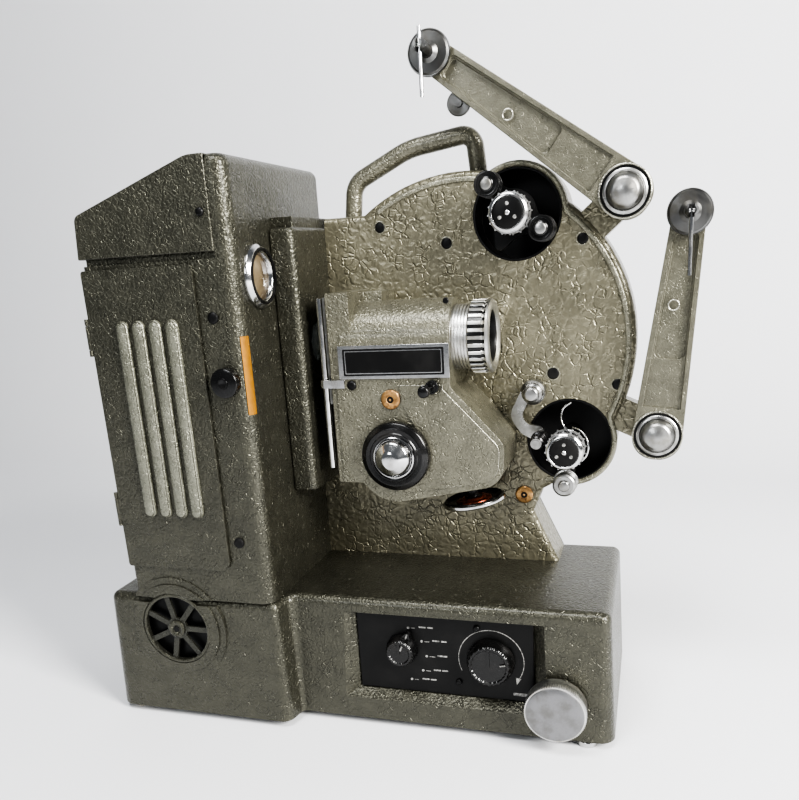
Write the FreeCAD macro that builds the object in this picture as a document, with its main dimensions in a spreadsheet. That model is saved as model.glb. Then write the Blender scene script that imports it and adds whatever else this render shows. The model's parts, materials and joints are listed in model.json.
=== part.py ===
import FreeCAD, Part
import math
import os
import re
import Sketcher
from FreeCAD import Placement, Rotation, Vector

# A cine film projector, in millimetres. X is the way the light is thrown, Y runs from the
# working side to the back, Z is up. Places are measured from the left front corner of the
# base casting's underside; the last step moves every piece so that the origin lies under
# the middle of the whole projector, on the surface that it stands on.

SIZES = {
    # base casting
    "base_length": 360.0, "base_depth": 146.4, "base_height": 89.2, "base_wall": 5.0,
    "base_corner": 10.0, "base_edge": 6.0, "base_floor": 1.6,
    "draft": 2.2,
    "step_x": 143.4, "step_y": 17.6, "step_round": 8.0,
    "foot_height": 5.0, "foot_radius": 7.0, "foot_inset": 12.0,
    "recess_left": 186.0, "recess_right": 308.0, "recess_bottom": 20.5, "recess_top": 78.0,
    "recess_floor": 27.0, "recess_flare": 1.1, "panel_thick": 1.6, "front_wall": 15.4,
    "grille_x": 57.9, "grille_z": 65.8, "grille_radius": 26.8, "grille_rim": 2.6,
    "grille_hub": 8.0, "grille_spoke": 4.0, "grille_thick": 3.0, "boss_radius": 34.0, "boss_step": 39.0,
    # lamp house
    "house_left": 28.0, "house_right": 135.5, "house_front": 2.0, "house_shoulder": 315.0,
    "house_top": 373.5, "house_wall": 3.0, "column_left": 124.0, "house_round": 9.0,
    "cap_bottom": 319.0, "cap_left_top": 345.0, "cap_bend": 112.0, "cap_wall": 1.6,
    "door_right": 108.0, "door_bottom": 113.0, "door_top": 312.4, "door_thick": 2.0, "door_gap": 0.4,
    "rib_first": 53.4, "rib_pitch": 12.0, "rib_width": 7.4, "rib_bottom": 151.0, "rib_top": 280.0,
    "rib_height": 2.6, "hinge_x": 26.3, "hinge_pin": 0.8, "hinge_barrel": 1.5, "hinge_length": 15.0,
    "bull_y": 32.5, "bull_z": 302.6, "bull_radius": 20.0, "bull_hole": 15.5,
    "lamp_x": 84.0, "lamp_knob_x": 122.5, "lamp_knob_z": 240.5, "lamp_knob_radius": 9.3,
    # light path
    "axis_y": 83.0, "axis_z": 256.0, "box_right": 152.5, "box_front": 53.4, "box_bottom": 156.0,
    "box_top": 332.0, "box_ledge": 6.5, "beam_radius": 23.0, "shutter_y": 100.0, "shutter_z": 224.0,
    "shutter_radius": 42.5,
    # main casting
    "plate_front": 109.6, "plate_wall": 5.0, "cover_thick": 3.0, "disc_x": 251.0, "disc_z": 246.0,
    "disc_radius": 115.0, "neck_right": 315.0, "neck_waist": 297.0, "neck_waist_z": 127.0,
    "shoulder_x": 184.0, "shoulder_z": 338.0, "plate_round": 4.0,
    "upper_x": 288.3, "upper_z": 331.0, "upper_bump": 33.5, "lower_x": 322.4, "lower_z": 180.0,
    "lower_bump": 32.0, "cup_radius": 29.2, "cup_wall": 1.5, "cup_depth": 25.0,
    "handle_section": 6.0,
    # gate and lens
    "gate_front": 57.0, "gate_left": 169.0, "gate_right": 251.5, "gate_top": 289.0,
    "gate_bottom": 161.0, "barrel_cover": 26.0, "lens_radius": 21.3, "ring_radius": 24.0,
    "ring_left": 262.4, "ring_length": 14.6, "lens_bore": 17.0,
    # drive
    "drive_x": 213.2, "drive_z": 181.5, "knob_radius": 23.5, "dome_radius": 13.0, "shaft_radius": 5.0,
    "drive_pulley": 30.0, "motor_x": 215.0, "motor_z": 46.0, "motor_radius": 30.0, "motor_pulley": 10.0,
    "pulley_y": 118.0, "pulley_width": 9.0, "sprocket_radius": 12.0, "sprocket_shaft": 4.0,
    # reel arms
    "upper_hub_x": 357.0, "upper_hub_z": 339.0, "upper_length": 148.0, "upper_angle": 143.0,
    "lower_hub_x": 380.5, "lower_hub_z": 187.0, "lower_length": 138.0, "lower_angle": 84.0,
    "arm_front": 94.6, "arm_thick": 12.0, "arm_hub": 16.5, "arm_tip": 9.5, "arm_rim": 3.2,
    "pivot_radius": 8.0, "cap_radius": 10.8, "spindle_radius": 3.95, "disc_wheel": 12.9,
    "wire_radius": 1.2, "wire_length": 38.0,
    # controls
    "tilt_x": 323.5, "tilt_z": 26.0, "tilt_knob": 19.6, "tilt_foot_x": 342.5, "tilt_foot_y": 25.0,
    "tilt_foot": 5.0, "pinion": 7.0, "selector_x": 218.2, "selector_z": 52.6, "speed_x": 279.4,
    "speed_z": 49.0, "selector_radius": 11.0, "speed_radius": 16.0,
    # clearances
    "running": 0.05, "gap": 0.5,
    # where the frame's origin is; set from the finished pieces at the end
    "frame_x": 0.0, "frame_y": 0.0, "frame_z": 0.0,
}

doc = FreeCAD.newDocument("FilmProjector")
sheet = doc.addObject("Spreadsheet::Sheet", "Sizes")
row_of = {}
for row, (word, number) in enumerate(SIZES.items(), start=1):
    sheet.set("A%d" % row, word)
    sheet.set("B%d" % row, str(number))
    sheet.setAlias("B%d" % row, word)
    row_of[word] = row
doc.recompute()

TO_FRONT = Rotation(Vector(1, 0, 0), 90)
TO_BACK = Rotation(Vector(1, 0, 0), -90)
TO_RIGHT = Rotation(Vector(0, 1, 0), 90)
UP = Rotation()
TILT_FEET = ("tilt_foot_y", "base_depth - tilt_foot_y + step_y - 6")
nodes = []
places = {}


def cells(formula):
    """Write a formula of plain size names as an expression on the sheet."""
    names = lambda found: "Sizes." + found.group(0) if found.group(0) in SIZES else found.group(0)
    return re.sub(r"[A-Za-z_]+", names, str(formula))


def number(formula):
    """The present value of a formula."""
    result = sheet.evalExpression(cells(formula))
    return float(getattr(result, "Value", result))


def bind(piece, **formulas):
    for name, formula in formulas.items():
        piece.setExpression(name, cells(formula))
    return piece


def at(piece, x="0", y="0", z="0", turn=UP):
    """Place a piece by three formulas, after a fixed turn."""
    piece.Placement = Placement(Vector(), turn)
    places[piece.Name] = (str(x), str(y), str(z))
    for axis, formula in zip("xyz", places[piece.Name]):
        piece.setExpression("Placement.Base." + axis, cells(formula))
    return piece


def node(piece, label):
    """Make a piece a node of its own, moved with the frame's origin."""
    piece.Label = label
    x, y, z = places.get(piece.Name, ("0", "0", "0"))
    for axis, formula in zip("xyz", (x, y, z)):
        piece.setExpression("Placement.Base." + axis, cells("frame_%s + (%s)" % (axis, formula)))
    nodes.append(piece)
    return piece


def box(low, high):
    """A box between two corners given as formulas."""
    piece = doc.addObject("Part::Box", "Block")
    spans = ["(%s) - (%s)" % (b, a) for a, b in zip(low, high)]
    bind(piece, Length=spans[0], Width=spans[1], Height=spans[2])
    return at(piece, *low)


def rod(radius, length, x, y, z, turn=UP):
    piece = doc.addObject("Part::Cylinder", "Rod")
    bind(piece, Radius=radius, Height=length)
    return at(piece, x, y, z, turn)


def fuse(*pieces):
    piece = doc.addObject("Part::MultiFuse", "Joined")
    piece.Shapes = list(pieces)
    piece.Refine = True
    return piece


def cut(base, *tools):
    piece = doc.addObject("Part::Cut", "Shaped")
    piece.Base = base
    piece.Tool = tools[0] if len(tools) == 1 else fuse(*tools)
    piece.Refine = True
    return piece


def common(first, second):
    piece = doc.addObject("Part::Common", "Shared")
    piece.Base = first
    piece.Tool = second
    return piece


def sketch_in(body, plane, offset=None):
    """A sketch on one of the body's own origin planes, lifted off it by a formula."""
    sketch = body.newObject("Sketcher::SketchObject", "Outline")
    role = plane + "_Plane"
    found = [item for item in body.Origin.OriginFeatures if item.Role == role]
    sketch.AttachmentSupport = [(found[0], "")]
    sketch.MapMode = "FlatFace"
    if offset is not None:
        sketch.setExpression("AttachmentOffset.Base.z", cells(offset))
    return sketch


def hold(sketch, geometry, end, x, y):
    """Fix one point of a sketch by two formulas."""
    for kind, axis, formula in (("DistanceX", -2, x), ("DistanceY", -1, y)):
        if str(formula) == "0":
            sketch.addConstraint(Sketcher.Constraint("PointOnObject", geometry, end, axis))
            continue
        index = sketch.addConstraint(Sketcher.Constraint(kind, geometry, end, number(formula)))
        sketch.setExpression("Constraints[%d]" % index, cells(formula))


def outline(sketch, corners, closed=True):
    """Draw straight lines between corners (x, y) or (x, y, radius), each radius a tangent arc."""
    count = len(corners)
    spots = [Vector(number(c[0]), number(c[1]), 0) for c in corners]
    leave, arrive, arcs = {}, {}, {}
    for i, corner in enumerate(corners):
        leave[i] = arrive[i] = spots[i]
        if len(corner) < 3:
            continue
        back = (spots[i - 1] - spots[i]).normalize()
        ahead = (spots[(i + 1) % count] - spots[i]).normalize()
        half = back.getAngle(ahead) / 2
        reach = number(corner[2]) / math.tan(half)
        arrive[i] = spots[i] + back * reach
        leave[i] = spots[i] + ahead * reach
        inward = (back + ahead).normalize()
        centre = spots[i] + inward * (number(corner[2]) / math.sin(half))
        middle = centre - inward * number(corner[2])
        arcs[i] = sketch.addGeometry(Part.Arc(arrive[i], middle, leave[i]))
        left = back.cross(ahead).z < 0
        arcs[i] = (arcs[i], 1 if left else 2, 2 if left else 1)
        index = sketch.addConstraint(Sketcher.Constraint("Radius", arcs[i][0], number(corner[2])))
        sketch.setExpression("Constraints[%d]" % index, cells(corner[2]))
    lines = []
    for i in range(count if closed else count - 1):
        j = (i + 1) % count
        lines.append(sketch.addGeometry(Part.LineSegment(leave[i], arrive[j])))
    for i, corner in enumerate(corners):
        before = lines[i - 1] if closed or i > 0 else None
        after = lines[i] if closed or i < count - 1 else None
        if i in arcs:
            arc, first, last = arcs[i]
            sketch.addConstraint(Sketcher.Constraint("Tangent", before, 2, arc, first))
            sketch.addConstraint(Sketcher.Constraint("Tangent", after, 1, arc, last))
            vertex = sketch.addGeometry(Part.Point(spots[i]), True)
            sketch.addConstraint(Sketcher.Constraint("PointOnObject", vertex, 1, before))
            sketch.addConstraint(Sketcher.Constraint("PointOnObject", vertex, 1, after))
            hold(sketch, vertex, 1, corner[0], corner[1])
        elif before is None:
            hold(sketch, after, 1, corner[0], corner[1])
        elif after is None:
            hold(sketch, before, 2, corner[0], corner[1])
        else:
            sketch.addConstraint(Sketcher.Constraint("Coincident", before, 2, after, 1))
            hold(sketch, after, 1, corner[0], corner[1])
    return sketch


def padded(plane, corners, length, x="0", y="0", z="0", turn=UP):
    """A body: an outline on a plane, padded along the plane's normal (-Y for XZ)."""
    body = doc.addObject("PartDesign::Body", "Piece")
    sketch = outline(sketch_in(body, plane), corners)
    pad = body.newObject("PartDesign::Pad", "Pad")
    pad.Profile = sketch
    bind(pad, Length=length)
    return at(body, x, y, z, turn)


def pocket(body, plane, corners, depth, offset="0", reverse=False):
    """Cut an outline into a body, from a plane at an offset, against the plane's normal."""
    sketch = outline(sketch_in(body, plane, offset), corners)
    feature = body.newObject("PartDesign::Pocket", "Pocket")
    feature.Profile = sketch
    feature.Reversed = reverse
    bind(feature, Length=depth)
    doc.recompute()
    return feature


def turned(profile, x="0", y="0", z="0", turn=UP):
    """A turned body: a closed profile of (radius, length) revolved about its own Z axis."""
    body = doc.addObject("PartDesign::Body", "Turned")
    sketch = outline(sketch_in(body, "XZ"), profile)
    feature = body.newObject("PartDesign::Revolution", "Turn")
    feature.Profile = sketch
    feature.ReferenceAxis = (sketch, ["V_Axis"])
    feature.Angle = 360
    return at(body, x, y, z, turn)


def ring(outer, inner, length, x, y, z, turn=UP):
    """A plain tube of rectangular section."""
    return turned([(inner, "0"), (outer, "0"), (outer, length), (inner, length)], x, y, z, turn)


def rectangle(left, bottom, right, top, radius=None):
    corners = [(left, bottom), (right, bottom), (right, top), (left, top)]
    return corners if radius is None else [(*corner, radius) for corner in corners]


def rounded(body, edges, radius):
    """Round chosen edges of a body's tip."""
    doc.recompute()
    tip = body.Tip
    picked = ["Edge%d" % (i + 1) for i, edge in enumerate(tip.Shape.Edges) if edges(edge)]
    feature = body.newObject("PartDesign::Fillet", "Round")
    feature.Base = (tip, picked)
    bind(feature, Radius=radius)
    doc.recompute()
    return body


def lies_at(edge, axis, formula, slack=0.01):
    """Whether every end and the middle of an edge is at one height along an axis."""
    spots = [vertex.Point for vertex in edge.Vertexes] + [edge.CenterOfMass]
    return all(abs(spot[axis] - number(formula)) < slack for spot in spots)


# --- base -------------------------------------------------------------------------------
def base_casting():
    """A drafted shell: a left block in front of a longer one, with the controls' recess."""
    body = doc.addObject("PartDesign::Body", "Base")
    plan = outline(sketch_in(body, "XY"), [
        ("0", "0", "base_corner"), ("step_x - 4.4", "0", "step_round"),
        ("step_x - 1", "step_y", "step_round - 4"), ("base_length", "step_y", "base_corner"),
        ("base_length", "base_depth + 3"), ("0", "base_depth + 3")])
    pad = body.newObject("PartDesign::Pad", "Drafted")
    pad.Profile = plan
    bind(pad, Length="base_height", TaperAngle="-draft")
    rounded(body, lambda e: lies_at(e, 2, "base_height") and e.CenterOfMass.y < number("base_depth") - 4, "base_edge")
    wall = "(base_wall + 5)"
    pocket(body, "XY", [
        (wall, wall), ("step_x - 12", wall), ("step_x - 12", "step_y + front_wall"),
        ("recess_right + 14", "step_y + front_wall"), ("recess_right + 14", "step_y + " + wall),
        ("base_length - base_wall - 5", "step_y + " + wall),
        ("base_length - base_wall - 5", "base_depth - base_wall"), (wall, "base_depth - base_wall"),
    ], "base_height - base_wall", reverse=True)
    recess = doc.addObject("Part::Wedge", "Recess")
    reach = "(recess_floor - step_y + 2)"
    bind(recess, Xmin="-%s * recess_flare" % reach, Xmax="recess_right - recess_left + %s * recess_flare" % reach,
         X2min="0", X2max="recess_right - recess_left", Ymin="0", Ymax=reach,
         Zmin="-%s * 0.6" % reach, Zmax="recess_top - recess_bottom + %s * 0.2" % reach,
         Z2min="0", Z2max="recess_top - recess_bottom")
    at(recess, "recess_left", "step_y - 2", "recess_bottom")
    discs = fuse(rod("boss_radius", "8", "grille_x", "0.2", "grille_z", TO_BACK),
                 rod("boss_step", "8", "grille_x", "1.2", "grille_z", TO_BACK))
    under = box(("3", "0", "3"), ("step_x - 8", "8", "base_height - 4"))
    solid = fuse(body, common(discs, under))
    duct = box(("house_left + 12", "house_front + 30", "base_height - base_wall - 1"),
               ("house_right - 12", "base_depth - 16", "base_height + 1"))
    belt_slot = box(("drive_x - 34", "pulley_y - 4", "base_height - base_wall - 1"),
                    ("drive_x + 36", "pulley_y + pulley_width + 4", "base_height + 1"))
    inlet_hole = box(("base_length - 62", "base_depth - base_wall - 1", "30"),
                     ("base_length - 31", "base_depth + 9", "53"))
    holes = [recess, duct, belt_slot, inlet_hole,
             rod("grille_radius + 0.1", "14", "grille_x", "-1", "grille_z", TO_BACK),
             rod("sprocket_shaft + running", "30", "tilt_x", "step_y - 6", "tilt_z", TO_BACK)]
    for x, z in (("selector_x", "selector_z"), ("speed_x", "speed_z")):
        holes.append(rod("3 + running", "20", x, "recess_floor - 2", z, TO_BACK))
    for y in TILT_FEET:
        holes.append(rod("tilt_foot + running", "54", "tilt_foot_x", y, "-1"))
    node(cut(solid, *holes), "base_casting")


def base_plate():
    inset = "(base_wall + 5.3)"
    corners = [
        (inset, inset), ("step_x - 12.3", inset), ("step_x - 12.3", "step_y + front_wall + 0.3"),
        ("recess_right + 14.3", "step_y + front_wall + 0.3"), ("recess_right + 14.3", "step_y + " + inset),
        ("base_length - " + inset, "step_y + " + inset),
        ("base_length - " + inset, "base_depth - base_wall - 0.3"), (inset, "base_depth - base_wall - 0.3"),
    ]
    plate = padded("XY", corners, "base_floor", z="0.4")
    holes = [rod("tilt_foot + 0.4", "6", "tilt_foot_x", y, "-1") for y in TILT_FEET]
    slots = [box(("motor_x - 34 + %d" % (14 * i), "50", "0"), ("motor_x - 28 + %d" % (14 * i), "110", "3"))
             for i in range(5)]
    node(cut(plate, *holes, *slots), "base_plate")


def feet():
    profile = [("0", "0"), ("foot_radius", "0"), ("foot_radius - 1.2", "-foot_height"), ("0", "-foot_height")]
    front = turned(profile, "foot_inset", "foot_inset", "0")
    back = turned(profile, "foot_inset", "base_depth - foot_inset", "0")
    node(fuse(front, back), "rubber_feet")


def control_panel():
    plate = padded("XZ", rectangle("recess_left + 0.3", "recess_bottom + 0.3", "recess_right - 0.3",
                                   "recess_top - 0.3"), "panel_thick", y="recess_floor")
    holes = [rod("3 + running", "8", x, "recess_floor - 4", z, TO_BACK)
             for x, z in (("selector_x", "selector_z"), ("speed_x", "speed_z"))]
    node(cut(plate, *holes), "control_panel")


def panel_knob(label, x, z, radius):
    """A knob on the panel with its shaft through the panel and the base wall."""
    face = "recess_floor - panel_thick - gap"
    profile = [("0", "0"), (radius, "0"), (radius, "2.5"), (radius + " * 0.86", "8.2", "1.4"), ("0", "8.6")]
    top = turned(profile, x, face, z, TO_FRONT)
    shaft = rod("3", "9", x, face, z, TO_BACK)
    mark = box((x + " - 0.7", face + " - 9.3", z), (x + " + 0.7", face + " - 8", z + " + %s * 0.8" % radius))
    node(fuse(top, shaft, mark), label)


def fan_grille():
    body = doc.addObject("PartDesign::Body", "Grille")
    sketch = outline(sketch_in(body, "XZ"), [("grille_radius - grille_rim", "0"), ("grille_radius", "0"),
                                              ("grille_radius", "grille_thick"),
                                              ("grille_radius - grille_rim", "grille_thick")])
    feature = body.newObject("PartDesign::Revolution", "Rim")
    feature.Profile = sketch
    feature.ReferenceAxis = (sketch, ["V_Axis"])
    feature.Angle = 360
    hub = outline(sketch_in(body, "XZ"), [("2", "0"), ("grille_hub", "0"), ("grille_hub", "grille_thick - 0.6"),
                                          ("2", "grille_thick - 0.6")])
    middle = body.newObject("PartDesign::Revolution", "Hub")
    middle.Profile = hub
    middle.ReferenceAxis = (hub, ["V_Axis"])
    middle.Angle = 360
    spoke = outline(sketch_in(body, "XY", "0.4"),
                    rectangle("grille_hub - 0.6", "-grille_spoke / 2", "grille_radius - grille_rim + 0.4",
                              "grille_spoke / 2"))
    pad = body.newObject("PartDesign::Pad", "Spoke")
    pad.Profile = spoke
    bind(pad, Length="grille_thick - 1.2")
    pattern = body.newObject("PartDesign::PolarPattern", "Spokes")
    pattern.Originals = [pad]
    pattern.Axis = (spoke, ["N_Axis"])
    pattern.Angle = 360
    pattern.Occurrences = 7
    body.Tip = pattern
    node(at(body, "grille_x", "grille_thick + 1", "grille_z", TO_FRONT), "fan_grille")


def mains_inlet():
    face = "base_depth + 2.2"
    flange = box(("base_length - 66", face, "27"), ("base_length - 27", face + " + 2.4", "56"))
    shell = box(("base_length - 61.5", face + " - 18", "30.5"), ("base_length - 31.5", face + " + 1", "52.5"))
    well = box(("base_length - 59", face + " - 15", "33"), ("base_length - 34", face + " + 4", "50"))
    pins = [box(("base_length - %s" % x, face + " - 16", "38"), ("base_length - %s + 2" % x, face + " - 3", "45"))
            for x in ("54", "47.5", "41")]
    node(fuse(cut(fuse(flange, shell), well), *pins), "mains_inlet")


# --- lamp house ---------------------------------------------------------------------------
def lamp_house():
    lower = padded("XY", [("house_left", "house_front", "4"), ("house_right", "house_front", "house_round"),
                          ("house_right", "base_depth", "4"), ("house_left", "base_depth", "4")],
                   "house_shoulder - base_height", z="base_height")
    column = padded("XY", [("column_left", "house_front"), ("house_right", "house_front", "house_round"),
                           ("house_right", "base_depth", "4"), ("column_left", "base_depth")],
                    "house_top - house_shoulder + 1", z="house_shoulder - 1")
    edge = lambda e: lies_at(e, 2, "house_top - house_shoulder + 1") and not lies_at(e, 0, "column_left")
    rounded(column, edge, "6")
    inside = box(("house_left + house_wall", "house_front + house_wall", "base_height - 1"),
                 ("house_right - house_wall", "base_depth - house_wall", "house_top - house_wall"))
    doorway = box(("house_left + 5", "house_front - 2", "door_bottom + 5"),
                  ("door_right - 4", "house_front + house_wall + 2", "door_top - 5"))
    beam = rod("beam_radius", "10", "house_right - 5", "axis_y", "axis_z", TO_RIGHT)
    bull = rod("bull_hole", "10", "house_right - 5", "bull_y", "bull_z", TO_RIGHT)
    knob = rod("3 + running", "10", "lamp_knob_x", "house_front - 2", "lamp_knob_z", TO_BACK)
    discs = fuse(rod("boss_radius", "4", "grille_x", "0.2", "grille_z", TO_BACK),
                 rod("boss_step", "4", "grille_x", "1.2", "grille_z", TO_BACK))
    over = box(("house_left", "0", "base_height"), ("house_right", "house_front + 1", "base_height + 40"))
    grille = rod("grille_radius + 0.3", "9", "grille_x", "-1", "grille_z", TO_BACK)
    shell = cut(fuse(lower, column, common(discs, over)), inside, doorway, beam, bull, knob, grille)
    shelf = box(("house_left + house_wall", "axis_y - 32", "170"), ("house_right - house_wall", "axis_y + 32", "173"))
    collar = cut(box(("house_left + house_wall - 0.5", "house_front + house_wall - 0.5", "house_shoulder - 3"),
                     ("column_left + 1", "base_depth - house_wall + 0.5", "house_shoulder + 14")),
                 box(("house_left + house_wall + 1.5", "house_front + house_wall + 1.5", "house_shoulder - 4"),
                     ("column_left + 2", "base_depth - house_wall - 1.5", "house_shoulder + 15")))
    pieces = [shell, shelf, collar]
    for z in ("door_bottom + 34", "door_top - 34 - hinge_length"):
        low = z + " - 4.4"
        high = z + " + hinge_length + 0.4"
        pieces.append(rod("hinge_pin", "hinge_length + 8.8", "hinge_x", "house_front - 1.4", low))
        for foot in (low, high):
            pieces.append(rod("hinge_barrel", "4", "hinge_x", "house_front - 1.4", foot))
            pieces.append(box(("hinge_x - 0.4", "house_front - 1.4", foot),
                              ("house_left", "house_front + 10", foot + " + 4")))
    node(fuse(*pieces), "lamp_house")


def lamp_house_cap():
    profile = [("house_left - 1", "cap_bottom"), ("column_left", "cap_bottom"), ("column_left", "house_top"),
               ("cap_bend", "house_top", "26"), ("house_left + 1", "cap_left_top", "5")]
    hood = padded("XZ", profile, "base_depth - house_front + 2", y="base_depth + 1")
    inner = [("house_left - 1 + cap_wall", "cap_bottom - 1"), ("column_left + 1", "cap_bottom - 1"),
             ("column_left + 1", "house_top - cap_wall"), ("cap_bend", "house_top - cap_wall", "24"),
             ("house_left + 1 + cap_wall", "cap_left_top - cap_wall", "3.5")]
    hollow = padded("XZ", inner, "base_depth - house_front + 2 - 2 * cap_wall", y="base_depth + 1 - cap_wall")
    node(cut(hood, hollow), "lamp_house_cap")


def lamp_door():
    front = "house_front - door_gap"
    panel = padded("XZ", [("house_left + 0.2", "door_bottom", "2"), ("door_right", "door_bottom", "7"),
                          ("door_right", "door_top", "2"), ("house_left + 0.2", "door_top", "2")],
                   "door_thick", y=front)
    pieces = [panel]
    for i in range(4):
        x = "rib_first + %d * rib_pitch" % i
        pieces.append(padded("XZ", rectangle(x + " - rib_width / 2", "rib_bottom", x + " + rib_width / 2",
                                             "rib_top", "rib_width / 2 - 0.2"),
                             "rib_height", y=front + " - door_thick + 0.1"))
    for z in ("door_bottom + 34", "door_top - 34 - hinge_length"):
        pieces.append(rod("hinge_barrel", "hinge_length", "hinge_x", "house_front - 1.4", z))
        pieces.append(box(("hinge_x", "house_front - door_gap - door_thick", z),
                          ("house_left + 1", front, z + " + hinge_length")))
    bores = [rod("hinge_pin + running", "hinge_length + 2", "hinge_x", "house_front - 1.4", z + " - 1")
             for z in ("door_bottom + 34", "door_top - 34 - hinge_length")]
    node(cut(fuse(*pieces), *bores), "lamp_door")


def lamp():
    base = turned([("0", "0"), ("16", "0"), ("16", "4"), ("13.5", "4"), ("13.5", "40"), ("0", "40")],
                  "lamp_x", "axis_y", "173.4")
    node(base, "lamp_holder")
    bulb = turned([("0", "0"), ("8", "0"), ("15", "8"), ("15", "64", "14"), ("0", "78")],
                  "lamp_x", "axis_y", "213.4")
    node(bulb, "lamp_bulb")
    reflector = turned([("0", "0"), ("14", "1.8"), ("25", "8"), ("25", "9.6"), ("14", "3.4"), ("0", "1.6")],
                       "lamp_x - 34", "axis_y", "axis_z", TO_RIGHT)
    post = box(("lamp_x - 34", "axis_y - 5", "173"), ("lamp_x - 32.4", "axis_y + 5", "axis_z - 4"))
    foot = box(("lamp_x - 40", "axis_y - 9", "173"), ("lamp_x - 26", "axis_y + 9", "174.6"))
    node(fuse(reflector, post, foot), "lamp_reflector")
    face = "house_front - gap"
    grip = turned([("0", "0"), ("lamp_knob_radius", "0"), ("lamp_knob_radius", "6", "1.2"), ("0", "7.4")],
                  "lamp_knob_x", face, "lamp_knob_z", TO_FRONT)
    shaft = rod("3", "16", "lamp_knob_x", face, "lamp_knob_z", TO_BACK)
    node(fuse(grip, shaft), "lamp_knob")


def bulls_eye():
    rim = turned([("bull_hole - 2", "0"), ("bull_hole - 0.1", "0"), ("bull_hole - 0.1", "house_wall"),
                  ("bull_radius", "house_wall"), ("bull_radius", "house_wall + 2"),
                  ("bull_radius - 2.2", "house_wall + 4.6"), ("bull_hole - 1", "house_wall + 3"),
                  ("bull_hole - 2", "house_wall")], "house_right - house_wall", "bull_y", "bull_z", TO_RIGHT)
    node(rim, "bulls_eye_ring")
    glass = turned([("0", "0"), ("bull_hole - 2.1", "0"), ("bull_hole - 2.1", "house_wall"),
                    ("0", "house_wall + 3.4")], "house_right - house_wall", "bull_y", "bull_z", TO_RIGHT)
    node(glass, "bulls_eye_glass")


# --- condenser and shutter ------------------------------------------------------------------
def condenser():
    block = padded("XY", [("house_right", "box_front", "2"), ("box_right", "box_front", "5"),
                          ("box_right", "base_depth"), ("house_right", "base_depth")],
                   "box_top - box_bottom", z="box_bottom")
    right_or_front = lambda e: lies_at(e, 2, "box_top - box_bottom") and not lies_at(e, 1, "base_depth")
    rounded(block, lambda e: right_or_front(e) and not lies_at(e, 0, "house_right"), "3")
    ledge = box(("house_right", "box_front + 6", "box_top - 1"), ("box_right - 2", "base_depth", "box_top + box_ledge"))
    inside = box(("house_right - 1", "box_front + house_wall", "box_bottom + house_wall"),
                 ("box_right - house_wall", "base_depth - house_wall", "box_top - house_wall"))
    beam = rod("14", "10", "box_right - 6", "axis_y", "axis_z", TO_RIGHT)
    bearing = rod("3 + running", "10", "box_right - 6", "shutter_y", "shutter_z", TO_RIGHT)
    node(cut(fuse(block, ledge), inside, beam, bearing), "condenser_box")
    big = turned([("0", "-4"), ("beam_radius - 0.1", "0"), ("beam_radius - 0.1", "4"), ("0", "4")],
                 "house_right - 5", "axis_y", "axis_z", TO_RIGHT)
    small = turned([("0", "0"), ("13.9", "0"), ("13.9", "3"), ("0", "5.5")],
                   "box_right - 3.4", "axis_y", "axis_z", TO_RIGHT)
    node(fuse(big, small), "condenser_lenses")
    disc = rod("shutter_radius", "1", "box_right - 8", "shutter_y", "shutter_z", TO_RIGHT)
    windows = []
    for side in (-1, 1):
        low = ("box_right - 9", "shutter_y - 12", "shutter_z + 16" if side > 0 else "shutter_z - 60")
        high = ("box_right - 6", "shutter_y + 12", "shutter_z + 60" if side > 0 else "shutter_z - 16")
        windows.append(box(low, high))
    shaft = rod("3", "13", "box_right - 13", "shutter_y", "shutter_z", TO_RIGHT)
    hub = rod("8", "4", "box_right - 11", "shutter_y", "shutter_z", TO_RIGHT)
    node(fuse(cut(disc, *windows), hub, shaft), "shutter")


# --- main casting ---------------------------------------------------------------------------
def casting_solid(front, back, grow):
    """The main casting's outline between two depths: disc, two bumps, neck and shoulder."""
    depth = "(%s) - (%s)" % (back, front)
    pieces = [
        rod("disc_radius + " + grow, depth, "disc_x", front, "disc_z", TO_BACK),
        rod("upper_bump + " + grow, depth, "upper_x", front, "upper_z", TO_BACK),
        rod("lower_bump + " + grow, depth, "lower_x", front, "lower_z", TO_BACK),
        padded("XZ", [("house_right", "base_height"), ("neck_right", "base_height"),
                      ("neck_waist", "neck_waist_z"), ("neck_waist + 12", "neck_waist_z + 30"),
                      ("disc_x + 40", "disc_z"), ("box_right", "disc_z"), ("box_right", "box_bottom"),
                      ("house_right", "box_bottom")], depth, y=back),
        padded("XZ", [("box_right", "disc_z - 20"), ("disc_x", "disc_z - 20"), ("disc_x", "disc_z + 60"),
                      ("shoulder_x + 25.5", "shoulder_z + 15"), ("shoulder_x", "shoulder_z", "10"),
                      ("box_right", "shoulder_z")], depth, y=back),
    ]
    return fuse(*pieces)


def condenser_room(margin):
    """The space left of the disc that the condenser box and its cover fill."""
    return box(("house_right - 5", "0", "box_bottom - " + margin), ("box_right + " + margin, "base_depth + 5", "400"))


def lug(x, z, angle):
    """A cast lug from the disc's rim out to a reel arm's pivot."""
    turn = Rotation(Vector(0, 1, 0), -angle)
    web = doc.addObject("Part::Box", "Web")
    bind(web, Length="34", Width="13", Height="22")
    web.Placement = Placement(Vector(), turn)
    side = (math.sin(math.radians(angle)), math.cos(math.radians(angle)))
    web.setExpression("Placement.Base.x", cells("%s - 34 * %.6f + 11 * %.6f" % (x, side[1], side[0])))
    web.setExpression("Placement.Base.y", cells("plate_front + 1.4"))
    web.setExpression("Placement.Base.z", cells("%s - 34 * %.6f - 11 * %.6f" % (z, side[0], side[1])))
    boss = rod("arm_hub - 2.5", "14.4", x, "plate_front", z, TO_BACK)
    return fuse(web, boss)


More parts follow.
